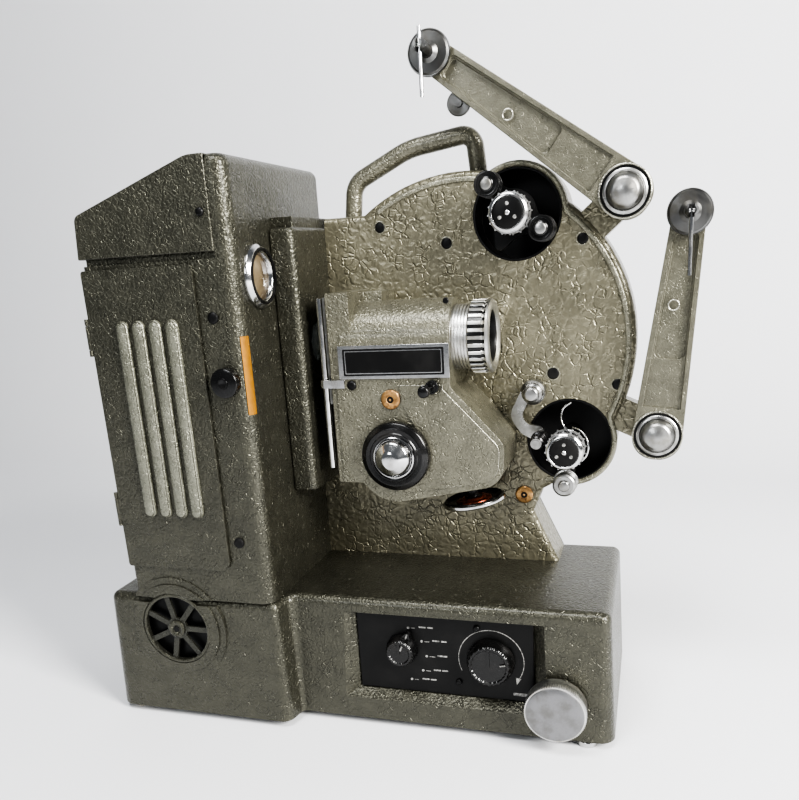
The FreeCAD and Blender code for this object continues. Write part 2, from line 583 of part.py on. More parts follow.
def main_casting():
    front, back = "plate_front", "base_depth - cover_thick"
    solid = casting_solid(front, back, "0")
    doc.recompute()
    fillet = doc.addObject("Part::Fillet", "Edge")
    fillet.Base = solid
    picked = []
    for i, edge in enumerate(solid.Shape.Edges):
        low_left = edge.CenterOfMass.x < number("box_right") + 1 or edge.CenterOfMass.z < number("base_height") + 1
        if lies_at(edge, 1, front) and not low_left:
            picked.append((i + 1, number("plate_round"), number("plate_round")))
    fillet.Edges = picked
    lugs = [lug("upper_hub_x", "upper_hub_z", 41.3), lug("lower_hub_x", "lower_hub_z", -24.4)]
    inner_front = "plate_front + plate_wall"
    hollow = [
        rod("disc_radius - plate_wall", "60", "disc_x", inner_front, "disc_z", TO_BACK),
        padded("XZ", [("house_right + plate_wall", "base_height + plate_wall"),
                      ("neck_right - plate_wall - 4", "base_height + plate_wall"),
                      ("neck_waist - plate_wall - 2", "neck_waist_z"), ("neck_waist - plate_wall", "disc_z"),
                      ("box_right + plate_wall", "disc_z"), ("box_right + plate_wall", "box_bottom - plate_wall"),
                      ("house_right + plate_wall", "box_bottom - plate_wall")], "60", y=inner_front + " + 60"),
    ]
    tubes = [rod("upper_bump", "70", "upper_x", inner_front + " - 2", "upper_z", TO_BACK),
             rod("lower_bump", "70", "lower_x", inner_front + " - 2", "lower_z", TO_BACK)]
    bores = [rod("cup_radius + 0.1", "60", x, "plate_front - 1", z, TO_BACK)
             for x, z in (("upper_x", "upper_z"), ("lower_x", "lower_z"))]
    bores.append(rod("shaft_radius + running", "12", "drive_x", "plate_front - 2", "drive_z", TO_BACK))
    bores.append(box(("drive_x - 32", "pulley_y - 3", "base_height - 1"),
                     ("drive_x + 34", "pulley_y + pulley_width + 3", "base_height + plate_wall + 1")))
    for x, z in (("193.5", "329.3"), ("240.4", "316"), ("330.7", "313.4"), ("311.4", "226.7"), ("354.1", "218.6")):
        bores.append(rod("3.6", "2", x, "plate_front - 1", z, TO_BACK))
    cavity = cut(fuse(*hollow), condenser_room("plate_wall"), *tubes)
    shell = cut(fillet, cavity, condenser_room("0"))
    studs = rod("4.7", "1.2", "194.2", "plate_front - 0.6", "97", TO_BACK)
    outer = cut(fuse(shell, *lugs), *bores)
    node(fuse(outer, studs), "main_casting")


def rear_cover():
    solid = casting_solid("base_depth - cover_thick", "base_depth", "-0.4")
    node(cut(solid, condenser_room("0.4"), box(("house_right - 1", "0", "base_height - 1"),
                        ("neck_right + 1", "base_depth + 1", "base_height + 0.4"))), "rear_cover")


def carry_handle():
    body = doc.addObject("PartDesign::Body", "Handle")
    path = outline(sketch_in(body, "XZ"), [
        ("house_right + 32.5", "shoulder_z - 4"), ("house_right + 35.5", "shoulder_z + 22.5", "14"),
        ("house_right + 76.5", "shoulder_z + 41.5", "60"), ("house_right + 122", "shoulder_z + 47.5", "9"),
        ("house_right + 125.2", "shoulder_z + 19"),
    ], closed=False)
    section = sketch_in(body, "XY", "shoulder_z - 4")
    section.addGeometry(Part.Circle(Vector(number("house_right + 32.5"), 0, 0), Vector(0, 0, 1),
                                    number("handle_section")))
    hold(section, 0, 3, "house_right + 32.5", "0")
    index = section.addConstraint(Sketcher.Constraint("Radius", 0, number("handle_section")))
    section.setExpression("Constraints[%d]" % index, cells("handle_section"))
    pipe = body.newObject("PartDesign::AdditivePipe", "Loop")
    pipe.Profile = section
    pipe.Spine = (path, [])
    at(body, "0", "(plate_front + base_depth) / 2", "0")
    node(cut(body, casting_solid("plate_front - 1", "base_depth + 1", "0")), "carry_handle")


def sprocket_cup(label, x, z):
    cup = turned([("sprocket_shaft + running", "0"), ("cup_radius", "0"), ("cup_radius", "cup_depth"),
                  ("cup_radius - cup_wall", "cup_depth"), ("cup_radius - cup_wall", "2"),
                  ("sprocket_shaft + 3", "2"), ("sprocket_shaft + 3", "4"), ("sprocket_shaft + running", "4")],
                 x, "plate_front + 0.4 + cup_depth", z, TO_FRONT)
    node(cup, label)


def sprocket(label, x, z):
    """Measured from the back: drive gear, shaft, toothed drum with a film groove, domed nose."""
    rim, low = "sprocket_radius", "sprocket_radius - 2.2"
    profile = [("0", "0"), ("11", "0"), ("11", "4"), ("sprocket_shaft", "4"), ("sprocket_shaft", "51"),
               (rim, "51"), (rim, "54"), (low, "54"), (low, "63.5"), (rim, "63.5"), (rim, "67.5"),
               ("sprocket_radius - 2.6", "69.5"), ("sprocket_radius - 3.4", "68.4"), ("0", "68.4")]
    node(turned(profile, x, "base_depth - cover_thick - 1.5", z, TO_FRONT), label)


# --- gate, lens and drive -------------------------------------------------------------------
def gate_casting():
    depth = "plate_front - gate_front"
    lobe = padded("XZ", [
        ("gate_left + 4", "gate_bottom"), ("gate_left + 18", "gate_bottom", "3"),
        ("drive_x - 12.5", "drive_z - 36", "27"), ("drive_x + 71", "drive_z - 20.5", "16"),
        ("drive_x + 73", "drive_z + 7", "13"), ("gate_right", "drive_z + 45", "3"),
        ("gate_right", "axis_z"), ("gate_left + 4", "axis_z")], depth, y="plate_front")
    flange = box(("gate_left", "gate_front + 1", "gate_bottom"), ("gate_left + 16", "plate_front", "gate_top"))
    cover = rod("barrel_cover", "gate_right - gate_left - 8", "gate_left + 8", "axis_y", "axis_z", TO_RIGHT)
    web = box(("gate_left + 8", "axis_y", "axis_z - 8"), ("gate_right", "plate_front", "axis_z + barrel_cover - 6"))
    block = box(("gate_left + 15", "axis_y - 2", "axis_z"), ("gate_left + 32", "plate_front", "gate_top - 1"))
    bore = rod("lens_radius + running", "120", "gate_left + 6", "axis_y", "axis_z", TO_RIGHT)
    window = box(("gate_left - 1", "axis_y - 8", "axis_z - 7"), ("gate_left + 8", "axis_y + 8", "axis_z + 7"))
    chamber = rod("24", "plate_front - gate_front - 4", "drive_x", "gate_front + 4", "drive_z", TO_BACK)
    slot = box(("gate_left - 1", "axis_y - 7", "drive_z + 2"), ("drive_x", "axis_y + 7", "drive_z + 20"))
    shaft = rod("shaft_radius + running", "12", "drive_x", "gate_front - 2", "drive_z", TO_BACK)
    lever = rod("2.5 + running", "12", "gate_right - 11", "gate_front - 2", "drive_z + 46", TO_BACK)
    solid = fuse(lobe, flange, cover, web, block)
    node(cut(solid, bore, window, chamber, slot, shaft, lever), "gate_casting")


def gate_trim():
    cover = padded("XZ", [
        ("drive_x + 4.5", "drive_z + 47"), ("drive_x + 5.3", "drive_z + 34", "14"),
        ("drive_x + 14", "drive_z + 18"), ("drive_x", "drive_z"), ("drive_x - 3", "drive_z - 28.4"),
        ("drive_x + 68.5", "drive_z - 17.3", "13.5"), ("drive_x + 69.8", "drive_z + 5.6", "10.5"),
        ("drive_x + 33.5", "drive_z + 44"), ("drive_x + 33.5", "drive_z + 47")], "1", y="gate_front")
    ports = [rod("shaft_radius + 0.6", "8", "drive_x", "gate_front - 4", "drive_z", TO_BACK),
             rod("5.6", "8", "gate_right - 11", "gate_front - 4", "drive_z + 46", TO_BACK)]
    node(cut(cover, *ports), "gate_cover")
    plate = padded("XZ", rectangle("gate_left + 7", "axis_z - 23", "gate_right + 0.4", "axis_z - 1"), "1.6",
                   y="gate_front")
    field = box(("gate_left + 10.5", "gate_front - 3", "axis_z - 20"), ("gate_right - 4", "gate_front - 1.1", "axis_z - 4"))
    node(cut(plate, field), "name_plate")
    bar = rod("2.2", "115", "gate_left - 5", "gate_front + 3.2", "gate_bottom + 10")
    band = box(("gate_left - 5", "gate_front - 1.4", "axis_z - 29"), ("gate_left + 10", "gate_front - 0.3", "axis_z - 23.6"))
    clasp = ring("3.6", "2.2", "5.4", "gate_left - 5", "gate_front + 3.2", "axis_z - 29")
    node(fuse(bar, band, clasp), "gate_rod")
    strip = box(("gate_left - 3.5", "axis_y - 17", "gate_bottom + 6"), ("gate_left", "axis_y + 17", "gate_top - 2"))
    window = box(("gate_left - 5", "axis_y - 5", "axis_z - 3.8"), ("gate_left + 1", "axis_y + 5", "axis_z + 3.8"))
    claw = box(("gate_left - 5", "axis_y - 6", "drive_z + 4"), ("gate_left + 1", "axis_y - 3", "drive_z + 18"))
    node(cut(strip, window, claw), "aperture_plate")
    shoe = box(("gate_left - 6.8", "axis_y - 15", "axis_z - 42"), ("gate_left - 3.9", "axis_y + 15", "axis_z + 30"))
    hole = box(("gate_left - 8", "axis_y - 6", "axis_z - 5"), ("gate_left - 3", "axis_y + 6", "axis_z + 5"))
    node(cut(shoe, hole), "pressure_plate")
    stem = rod("2.5", "12", "gate_right - 11", "gate_front + 5", "drive_z + 46", TO_FRONT)
    boss = rod("4.4", "4", "gate_right - 11", "gate_front - 1.4", "drive_z + 46", TO_FRONT)
    tip = turned([("0", "0"), ("2.6", "0"), ("4.2", "7"), ("3.6", "10", "1.4"), ("0", "10.6")],
                 "gate_right - 14.5", "gate_front - 4.4", "drive_z + 44.2", TO_FRONT)
    node(fuse(stem, boss, tip), "gate_lever")


def lens():
    """Barrel with five rings outside the casting, a focusing ring on its neck and two glasses."""
    profile = [("lens_bore", "0"), ("lens_radius", "0"), ("lens_radius", "gate_right - gate_left - 10")]
    along = "gate_right - gate_left - 10"
    for i in range(5):
        profile += [("lens_radius - 1", along + " + %s" % (0.15 + 2.1 * i)),
                    ("lens_radius - 1", along + " + %s" % (0.65 + 2.1 * i)),
                    ("lens_radius", along + " + %s" % (0.8 + 2.1 * i)),
                    ("lens_radius", along + " + %s" % (2.1 + 2.1 * i))]
    step = "ring_left - gate_left - 10.4"
    profile += [("lens_radius", step), ("lens_bore + 2", step), ("lens_bore + 2", step + " + ring_length + 0.2"),
                ("lens_bore", step + " + ring_length - 1.4")]
    node(turned(profile, "gate_left + 10", "axis_y", "axis_z", TO_RIGHT), "lens_barrel")
    grip = turned([("lens_bore + 2 + running", "0"), ("ring_radius - 0.8", "0"), ("ring_radius", "0.8"),
                   ("ring_radius", "ring_length - 1"), ("ring_radius - 1.6", "ring_length"),
                   ("lens_bore + 2 + running", "ring_length - 2")], "ring_left", "axis_y", "axis_z", TO_RIGHT)
    node(grip, "focus_ring")
    front = turned([("0", "-2"), ("lens_bore - 0.1", "0"), ("lens_bore - 0.1", "5"), ("0", "8.6")],
                   "ring_left", "axis_y", "axis_z", TO_RIGHT)
    back = turned([("0", "0"), ("lens_bore - 0.1", "0"), ("lens_bore - 0.1", "4"), ("0", "1.6")],
                  "gate_left + 14", "axis_y", "axis_z", TO_RIGHT)
    node(fuse(front, back), "lens_glass")


def drive():
    shaft = rod("shaft_radius", "base_depth - gate_front", "drive_x", "gate_front - 6", "drive_z", TO_BACK)
    wheel = turned([("shaft_radius - 1", "0"), ("drive_pulley + 2", "0"), ("drive_pulley + 2", "1.2"),
                    ("drive_pulley", "1.6"), ("drive_pulley", "pulley_width - 1.6"),
                    ("drive_pulley + 2", "pulley_width - 1.2"), ("drive_pulley + 2", "pulley_width"),
                    ("shaft_radius - 1", "pulley_width")], "drive_x", "pulley_y + pulley_width", "drive_z", TO_FRONT)
    cam = rod("11", "10", "drive_x + 2", "axis_y - 8", "drive_z", TO_BACK)
    node(fuse(shaft, wheel, cam), "main_shaft")
    knob = turned([("shaft_radius", "0"), ("knob_radius", "0"), ("knob_radius", "5.5", "2.4"),
                   ("knob_radius - 4", "8"), ("dome_radius + 1", "7.4"), ("dome_radius + 1", "6"),
                   ("shaft_radius", "6")], "drive_x", "gate_front - 1.6", "drive_z", TO_FRONT)
    node(knob, "inching_knob")
    dome = turned([("0", "0"), ("dome_radius", "0"), ("dome_radius", "2"), ("dome_radius * 0.87", "6.5", "3"),
                   ("dome_radius * 0.4", "10.6", "8"), ("0", "11.2")], "drive_x", "gate_front - 7.7", "drive_z", TO_FRONT)
    node(dome, "inching_dome")
    case = turned([("sprocket_shaft + running", "0"), ("motor_radius - 6", "0"), ("motor_radius", "6"),
                   ("motor_radius", "46"), ("motor_radius - 6", "52"), ("sprocket_shaft + running", "52")],
                  "motor_x", "pulley_y - 4", "motor_z", TO_FRONT)
    saddle = box(("motor_x - 24", "pulley_y - 50", "2.2"), ("motor_x + 24", "pulley_y - 10", "motor_z - 20"))
    node(fuse(case, saddle), "motor")
    spindle = rod("sprocket_shaft", "98", "motor_x", "pulley_y - 80", "motor_z", TO_BACK)
    small = turned([("2", "0"), ("motor_pulley + 2", "0"), ("motor_pulley + 2", "1.2"), ("motor_pulley", "1.6"),
                    ("motor_pulley", "pulley_width - 1.6"), ("motor_pulley + 2", "pulley_width - 1.2"),
                    ("motor_pulley + 2", "pulley_width"), ("2", "pulley_width")],
                   "motor_x", "pulley_y + pulley_width", "motor_z", TO_FRONT)
    node(fuse(spindle, small), "motor_shaft")
    hub = turned([("sprocket_shaft", "0"), ("9", "0"), ("9", "14"), ("sprocket_shaft", "14")],
                 "motor_x", "pulley_y - 60", "motor_z", TO_FRONT)
    back = rod("27", "1.6", "motor_x", "pulley_y - 61.6", "motor_z", TO_BACK)
    blades = []
    for i in range(8):
        blade = doc.addObject("Part::Box", "Blade")
        bind(blade, Length="19", Width="12", Height="1.4")
        blade.Placement = Placement(Vector(), Rotation(Vector(0, 1, 0), 45 * i))
        turn = math.radians(45 * i)
        blade.setExpression("Placement.Base.x", cells("motor_x + %.6f" % (8 * math.cos(turn))))
        blade.setExpression("Placement.Base.y", cells("pulley_y - 73.5"))
        blade.setExpression("Placement.Base.z", cells("motor_z - %.6f" % (8 * math.sin(turn))))
        blades.append(blade)
    disc = cut(back, rod("sprocket_shaft", "4", "motor_x", "pulley_y - 62.6", "motor_z", TO_BACK))
    node(fuse(hub, disc, *blades), "fan_wheel")


def drive_belt():
    """The flat belt's two rounds and two tangent runs; a circle pair's common tangents need Part."""
    low = Vector(number("motor_x"), 0, number("motor_z"))
    high = Vector(number("drive_x"), 0, number("drive_z"))
    along = high - low
    reach = along.Length
    along.normalize()
    side = Vector(along.z, 0, -along.x)

    def loop(extra):
        small, big = number("motor_pulley") + extra, number("drive_pulley") + extra
        lean = (small - big) / reach
        level = math.sqrt(1 - lean * lean)
        right = side * level - along * -lean
        left = side * -level - along * -lean
        spots = [low + right * small, low - along * small, low + left * small,
                 high + left * big, high + along * big, high + right * big]
        edges = [Part.Arc(spots[0], spots[1], spots[2]).toShape(), Part.makeLine(spots[2], spots[3]),
                 Part.Arc(spots[3], spots[4], spots[5]).toShape(), Part.makeLine(spots[5], spots[0])]
        return Part.Face(Part.Wire(edges))

    width = Vector(0, number("pulley_width") - 4.4, 0)
    belt = doc.addObject("Part::Feature", "Belt")
    belt.Shape = loop(1.9).extrude(width).cut(loop(0.3).extrude(width))
    node(at(belt, "0", "pulley_y + 2.2", "0"), "drive_belt")


def framing_wheel():
    lean = Rotation(Vector(0, 1, 0), -9)
    dish = [("0", "0"), ("20", "0"), ("21.4", "1.4"), ("21.4", "3.4"), ("20.2", "4.6"), ("17", "2.4"),
            ("6.5", "2"), ("6.5", "4.4"), ("4", "5.2"), ("4", "9.6"), ("0", "9.6")]
    node(turned(dish, "drive_x + 46.3", "axis_y", "drive_z - 40.5", lean), "framing_wheel")


# --- film rollers ---------------------------------------------------------------------------
ROLLERS = {
    "upper_roller_left": ("upper_x - 13.3", "upper_z + 17.6", "8.2"),
    "upper_roller_right": ("upper_x + 19.8", "upper_z - 10.4", "8.2"),
    "lower_roller": ("lower_x - 0.4", "lower_z - 23.6", "8.4"),
    "keeper_roller": ("lower_x - 18.4", "lower_z + 5.4", "5.4"),
}


def rollers():
    for label, (x, z, size) in ROLLERS.items():
        profile = [("2.5 + running", "0"), (size, "0"), (size, "3"), (size + " - 1.6", "3.6"),
                   (size + " - 1.6", "11"), (size + " - 0.6", "11.6"), (size + " - 0.6", "13.4"),
                   (size + " - 2", "14.6"), ("2.5 + running", "14.6")]
        node(turned(profile, x, "axis_y + 7.5", z, TO_FRONT), label)


def pivot_studs():
    """Fixed studs: three roller pins in the cups, the keeper's pivot and the two reel arm pivots."""
    studs = []
    for label in ("upper_roller_left", "upper_roller_right", "lower_roller"):
        x, z, size = ROLLERS[label]
        studs.append(turned([("0", "0"), ("4", "0"), ("4", "41.4"), ("2.5", "41.4"), ("2.5", "57.6"), ("4", "57.6"),
                             ("3.4", "59.4"), ("0", "60")], x, "plate_front + 0.4 + cup_depth - 2", z, TO_FRONT))
    studs.append(turned([("0", "0"), ("3", "0"), ("3", "14.8"), ("5.4", "14.8"), ("5.4", "16.4"), ("4", "18"),
                         ("0", "18.6")], "lower_x - 24", "plate_front", "lower_z + 35", TO_FRONT))
    for x, z in (("upper_hub_x", "upper_hub_z"), ("lower_hub_x", "lower_hub_z")):
        studs.append(turned([("0", "0"), ("pivot_radius", "0"), ("pivot_radius", "plate_front - arm_front + 0.5"),
                             ("cap_radius", "plate_front - arm_front + 0.5"),
                             ("cap_radius", "plate_front - arm_front + 2.5"),
                             ("cap_radius * 0.8", "plate_front - arm_front + 6.6", "4"),
                             ("0", "plate_front - arm_front + 9.4")], x, "plate_front", z, TO_FRONT))
    node(fuse(*studs), "pivot_studs")


def keeper_lever():
    """An S-shaped lever from its pivot boss on the plate down to the small roller's pin."""
    x, z = "lower_x - 24", "lower_z + 35"
    boss = turned([("3 + running", "0"), ("8.4", "0"), ("8.4", "8"), ("7", "9.6"), ("7", "12"), ("5.6", "13.4"),
                   ("3 + running", "13.4")], x, "plate_front - 0.6", z, TO_FRONT)
    blade = padded("XZ", [
        ("lower_x - 32", "lower_z + 36"), ("lower_x - 40.5", "lower_z + 19", "11"),
        ("lower_x - 32", "lower_z + 7", "8"), ("lower_x - 22", "lower_z + 1.4", "4"),
        ("lower_x - 14.2", "lower_z + 5", "4"), ("lower_x - 18", "lower_z + 12", "4"),
        ("lower_x - 27", "lower_z + 13", "5"), ("lower_x - 32", "lower_z + 19", "6"),
        ("lower_x - 27", "lower_z + 29")], "4", y="plate_front - 6")
    pin = rod("2.5", "plate_front - 6 - axis_y + 10", "lower_x - 18.4", "plate_front - 6", "lower_z + 5.4", TO_FRONT)
    head = rod("3.6", "1.6", "lower_x - 18.4", "axis_y - 7.6", "lower_z + 5.4", TO_FRONT)
    collar = rod("4", "11", "lower_x - 18.4", "plate_front - 7", "lower_z + 5.4", TO_FRONT)
    hole = rod("3 + running", "40", x, "plate_front + 2", z, TO_FRONT)
    node(fuse(cut(fuse(boss, blade), hole), pin, head, collar), "keeper_lever")


# --- reel arms ------------------------------------------------------------------------------
def reel_arm(side):
    """A tapered arm with a sunk web, in two depths, drawn along X and then turned to its angle."""
    long, angle = side + "_length", SIZES[side + "_angle"]
    body = doc.addObject("PartDesign::Body", "Arm")
    plan = outline(sketch_in(body, "XZ"), [
        ("-arm_hub", "-arm_hub", "arm_hub - 1.8"), (long + " + arm_tip", "-arm_tip", "arm_tip - 0.8"),
        (long + " + arm_tip", "arm_tip", "arm_tip - 0.8"), ("-arm_hub", "arm_hub", "arm_hub - 1.8")])
    pad = body.newObject("PartDesign::Pad", "Pad")
    pad.Profile = plan
    bind(pad, Length="arm_thick")
    doc.recompute()
    near, far = "arm_hub + 1.5", long + " - arm_tip - 2"
    taper = "(arm_hub - arm_tip) / (%s + arm_hub + arm_tip)" % long

    def half(x):
        return "arm_hub - arm_rim - (%s + arm_hub) * %s" % (x, taper)

    web = [(near, "-(%s)" % half(near)), (far, "-(%s)" % half(far), "3"), (far, half(far), "3"), (near, half(near))]
    pocket(body, "XZ", web, "1.8", "arm_thick")
    start, end = long + " * 0.36", far + " - 1"
    deep = [(start, "-(%s - 1)" % half(start), "4"), (end, "-(%s - 1)" % half(end), "3"),
            (end, half(end) + " - 1", "3"), (start, half(start) + " - 1", "4")]
    pocket(body, "XZ", deep, "3.4", "arm_thick")
    turn = Rotation(Vector(0, 1, 0), -angle)
    at(body, side + "_hub_x", "arm_front + arm_thick", side + "_hub_z", turn)
    reach = (math.cos(math.radians(angle)), math.sin(math.radians(angle)))
    tip = ("%s_hub_x + %s * %.6f" % (side, long, reach[0]), "%s_hub_z + %s * %.6f" % (side, long, reach[1]))
    holes = [rod("pivot_radius + running", "40", side + "_hub_x", "arm_front - 5", side + "_hub_z", TO_BACK),
             rod("spindle_radius + running", "40", tip[0], "arm_front - 5", tip[1], TO_BACK),
             rod("cap_radius + 1.4", "1.6", side + "_hub_x", "arm_front - 0.6", side + "_hub_z", TO_BACK)]
    node(cut(body, *holes), side + "_reel_arm")
    return tip


def spindle(side, x, z, below):
    """A reel spindle: rear pulley, shaft, knurled driving disc and nose, with its keeper wire."""
    radius = "spindle_radius"
    profile = [("0", "0"), ("9.5", "0"), ("9.5", "2"), (radius, "2"), (radius, "16"), ("disc_wheel - 1", "16"),
               ("disc_wheel", "17"), ("disc_wheel", "20"), ("disc_wheel - 1.2", "21.2"), ("6.4", "22"),
               (radius, "24"), (radius, "42"), (radius + " - 1.4", "45"), ("0", "45")]
    back = "arm_front + arm_thick + 2.4"
    shaft = turned(profile, x, back, z, TO_FRONT)
    cross = rod("wire_radius + running", "20", x + " - 10", back + " - 40", z, TO_RIGHT)
    slot = box((x + " - 1.5", back + " - 50", z + " - 9"), (x + " + 1.5", back + " - 28.6", z + " + 9"))
    node(cut(shaft, slot, cross), side + "_spindle")
    pin = rod("wire_radius", "spindle_radius * 2 - 0.6", x + " - spindle_radius + 0.3", back + " - 40", z, TO_RIGHT)
    wire = rod("wire_radius", "wire_length", x, back + " - 40", z + " - " + below)
    node(fuse(pin, wire), side + "_reel_wire")


# --- tilting foot ---------------------------------------------------------------------------
def tilt_gear():
    face = "step_y - 1"
    knob = turned([("0", "0"), ("tilt_knob - 1", "0"), ("tilt_knob", "1"), ("tilt_knob", "10"),
                   ("tilt_knob - 1.6", "12"), ("0", "13.6")], "tilt_x", face, "tilt_z", TO_FRONT)
    shaft = rod("sprocket_shaft", "36", "tilt_x", face, "tilt_z", TO_BACK)
    pinion = rod("pinion", "14", "tilt_x", face + " + 21", "tilt_z", TO_BACK)
    node(fuse(knob, shaft, pinion), "tilt_knob")
    posts = [turned([("0", "0"), ("tilt_foot + 1.6", "0"), ("tilt_foot + 1.6", "foot_height - 1.4"),
                     ("tilt_foot", "foot_height - 0.6"), ("tilt_foot", "foot_height + 42"), ("0", "foot_height + 42")],
                    "tilt_foot_x", y, "-foot_height") for y in TILT_FEET]
    bridge = box(("tilt_foot_x - 3.5", "tilt_foot_y", "36"), ("tilt_foot_x + 3.5", TILT_FEET[1], "42"))
    rack = box(("tilt_x + pinion + 0.4", face + " + 22", "20"), ("tilt_foot_x - 2", face + " + 34", "48"))
    node(fuse(*posts, bridge, rack), "tilt_yoke")


def fasteners():
    """Visible screws: one on the cap, two on the lamp house, two on the panel, and those of the gate."""
    spots = [("118.2", "341.6", "house_front - 1", "2.6"), ("117.7", "280.1", "house_front", "3.6"),
             ("116.1", "133.2", "house_front", "3.6"), ("270.4", "72", "recess_floor - panel_thick", "2.2"),
             ("257.2", "31", "recess_floor - panel_thick", "2.2"), ("184", "228.8", "gate_front", "3.2"),
             ("210.8", "219", "gate_front", "6.2"), ("290.4", "139.9", "plate_front", "6")]
    heads = [turned([("0", "0"), (size, "0"), (size, "1"), (size + " * 0.7", "1.8"), ("0", "2")],
                    x, y, z, TO_FRONT) for x, z, y, size in spots]
    node(fuse(*heads), "case_screws")


for build in (base_casting, base_plate, feet, control_panel, fan_grille, mains_inlet, lamp_house, lamp_house_cap,
              lamp_door, lamp, bulls_eye, condenser, main_casting, rear_cover, carry_handle, gate_casting,
              gate_trim, lens, drive, drive_belt, framing_wheel, rollers, pivot_studs, keeper_lever,
              tilt_gear, fasteners):
    build()
panel_knob("selector_knob", "selector_x", "selector_z", "selector_radius")
panel_knob("speed_knob", "speed_x", "speed_z", "speed_radius")
for side in ("upper", "lower"):
    sprocket_cup(side + "_cup", side + "_x", side + "_z")
    sprocket(side + "_sprocket", side + "_x", side + "_z")
    spindle(side, *reel_arm(side), "28" if side == "upper" else "36")


def check(stage):
    """Stop with a plain message when an object failed or a piece isn't a whole solid."""
    failed = [item.Label for item in doc.Objects if set(item.State) & {"Invalid", "Error"}]
    if failed:
        raise SystemExit("%s: failed objects %s" % (stage, failed))
    for piece in nodes:
        if piece.Shape.isNull() or not piece.Shape.isValid() or not piece.Shape.Solids:
            raise SystemExit("%s: %s has no valid solid" % (stage, piece.Label))


doc.recompute()
check("pieces")
whole = FreeCAD.BoundBox()
for piece in nodes:
    whole.add(piece.Shape.optimalBoundingBox(False))
for word, shift in (("frame_x", -whole.Center.x), ("frame_y", -whole.Center.y), ("frame_z", -whole.ZMin)):
    sheet.set("B%d" % row_of[word], "%.3f" % shift)
doc.recompute()
check("placed")

os.makedirs("parts", exist_ok=True)
for piece in nodes:
    piece.Shape.exportStep("parts/%s.step" % piece.Label)
print("shift", sheet.frame_x, sheet.frame_y, sheet.frame_z)
print(len(nodes), "nodes", [round(v, 1) for v in (whole.XLength, whole.YLength, whole.ZLength)])
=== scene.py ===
import json
import math

import bmesh
import bpy
import numpy as np
from mathutils import Matrix, Vector

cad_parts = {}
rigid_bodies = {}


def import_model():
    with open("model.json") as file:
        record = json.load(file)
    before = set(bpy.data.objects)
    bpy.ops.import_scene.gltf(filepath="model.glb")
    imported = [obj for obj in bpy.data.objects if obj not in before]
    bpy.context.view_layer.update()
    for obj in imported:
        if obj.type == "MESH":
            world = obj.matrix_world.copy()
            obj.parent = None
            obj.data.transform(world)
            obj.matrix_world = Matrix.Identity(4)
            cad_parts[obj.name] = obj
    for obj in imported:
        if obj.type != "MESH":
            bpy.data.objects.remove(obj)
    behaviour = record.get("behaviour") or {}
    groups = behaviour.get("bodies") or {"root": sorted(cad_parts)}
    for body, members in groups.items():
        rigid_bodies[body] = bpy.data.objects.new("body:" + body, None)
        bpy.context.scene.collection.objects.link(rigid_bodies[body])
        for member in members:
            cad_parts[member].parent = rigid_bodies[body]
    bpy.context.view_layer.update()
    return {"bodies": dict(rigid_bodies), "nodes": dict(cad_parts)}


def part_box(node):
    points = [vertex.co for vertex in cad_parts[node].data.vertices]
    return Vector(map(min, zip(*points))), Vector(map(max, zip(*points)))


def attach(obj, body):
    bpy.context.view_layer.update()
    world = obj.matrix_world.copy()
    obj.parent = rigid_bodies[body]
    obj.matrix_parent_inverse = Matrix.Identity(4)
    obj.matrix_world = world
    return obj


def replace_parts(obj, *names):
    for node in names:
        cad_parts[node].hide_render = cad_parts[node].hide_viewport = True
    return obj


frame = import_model()
nodes = frame["nodes"]
bodyOf = {name: next(body for body, empty in frame["bodies"].items() if empty == item.parent)
          for name, item in nodes.items()}
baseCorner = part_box("base_casting")[0]  # left front corner of the base casting's underside


def spot(x, y, z):
    # a place given in millimetres from the base casting's left front lower corner
    return baseCorner + Vector((x, y, z)) / 1000


def middle(name):
    low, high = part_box(name)
    return (low + high) / 2


class Wire:
    # one value in a material's node tree; sums written with it become nodes
    def __init__(self, finish, socket):
        self.finish = finish
        self.socket = socket

    def maths(self, operation, *others):
        return self.finish.add("ShaderNodeMath", {0: self, **{i + 1: o for i, o in enumerate(others)}},
                               operation=operation)

    def __add__(self, other):
        return self.maths("ADD", other)

    def __sub__(self, other):
        return self.maths("SUBTRACT", other)

    def __rsub__(self, other):
        return self.finish.add("ShaderNodeMath", {0: other, 1: self}, operation="SUBTRACT")

    def __mul__(self, other):
        return self.maths("MULTIPLY", other)

    __radd__ = __add__

    def clamp(self):
        return self.finish.add("ShaderNodeClamp", {0: self})

    def step(self, low, high):
        # smooth rise from 0 at low to 1 at high
        return self.finish.add("ShaderNodeMapRange", {0: self, 1: low, 2: high},
                               interpolation_type="SMOOTHSTEP")


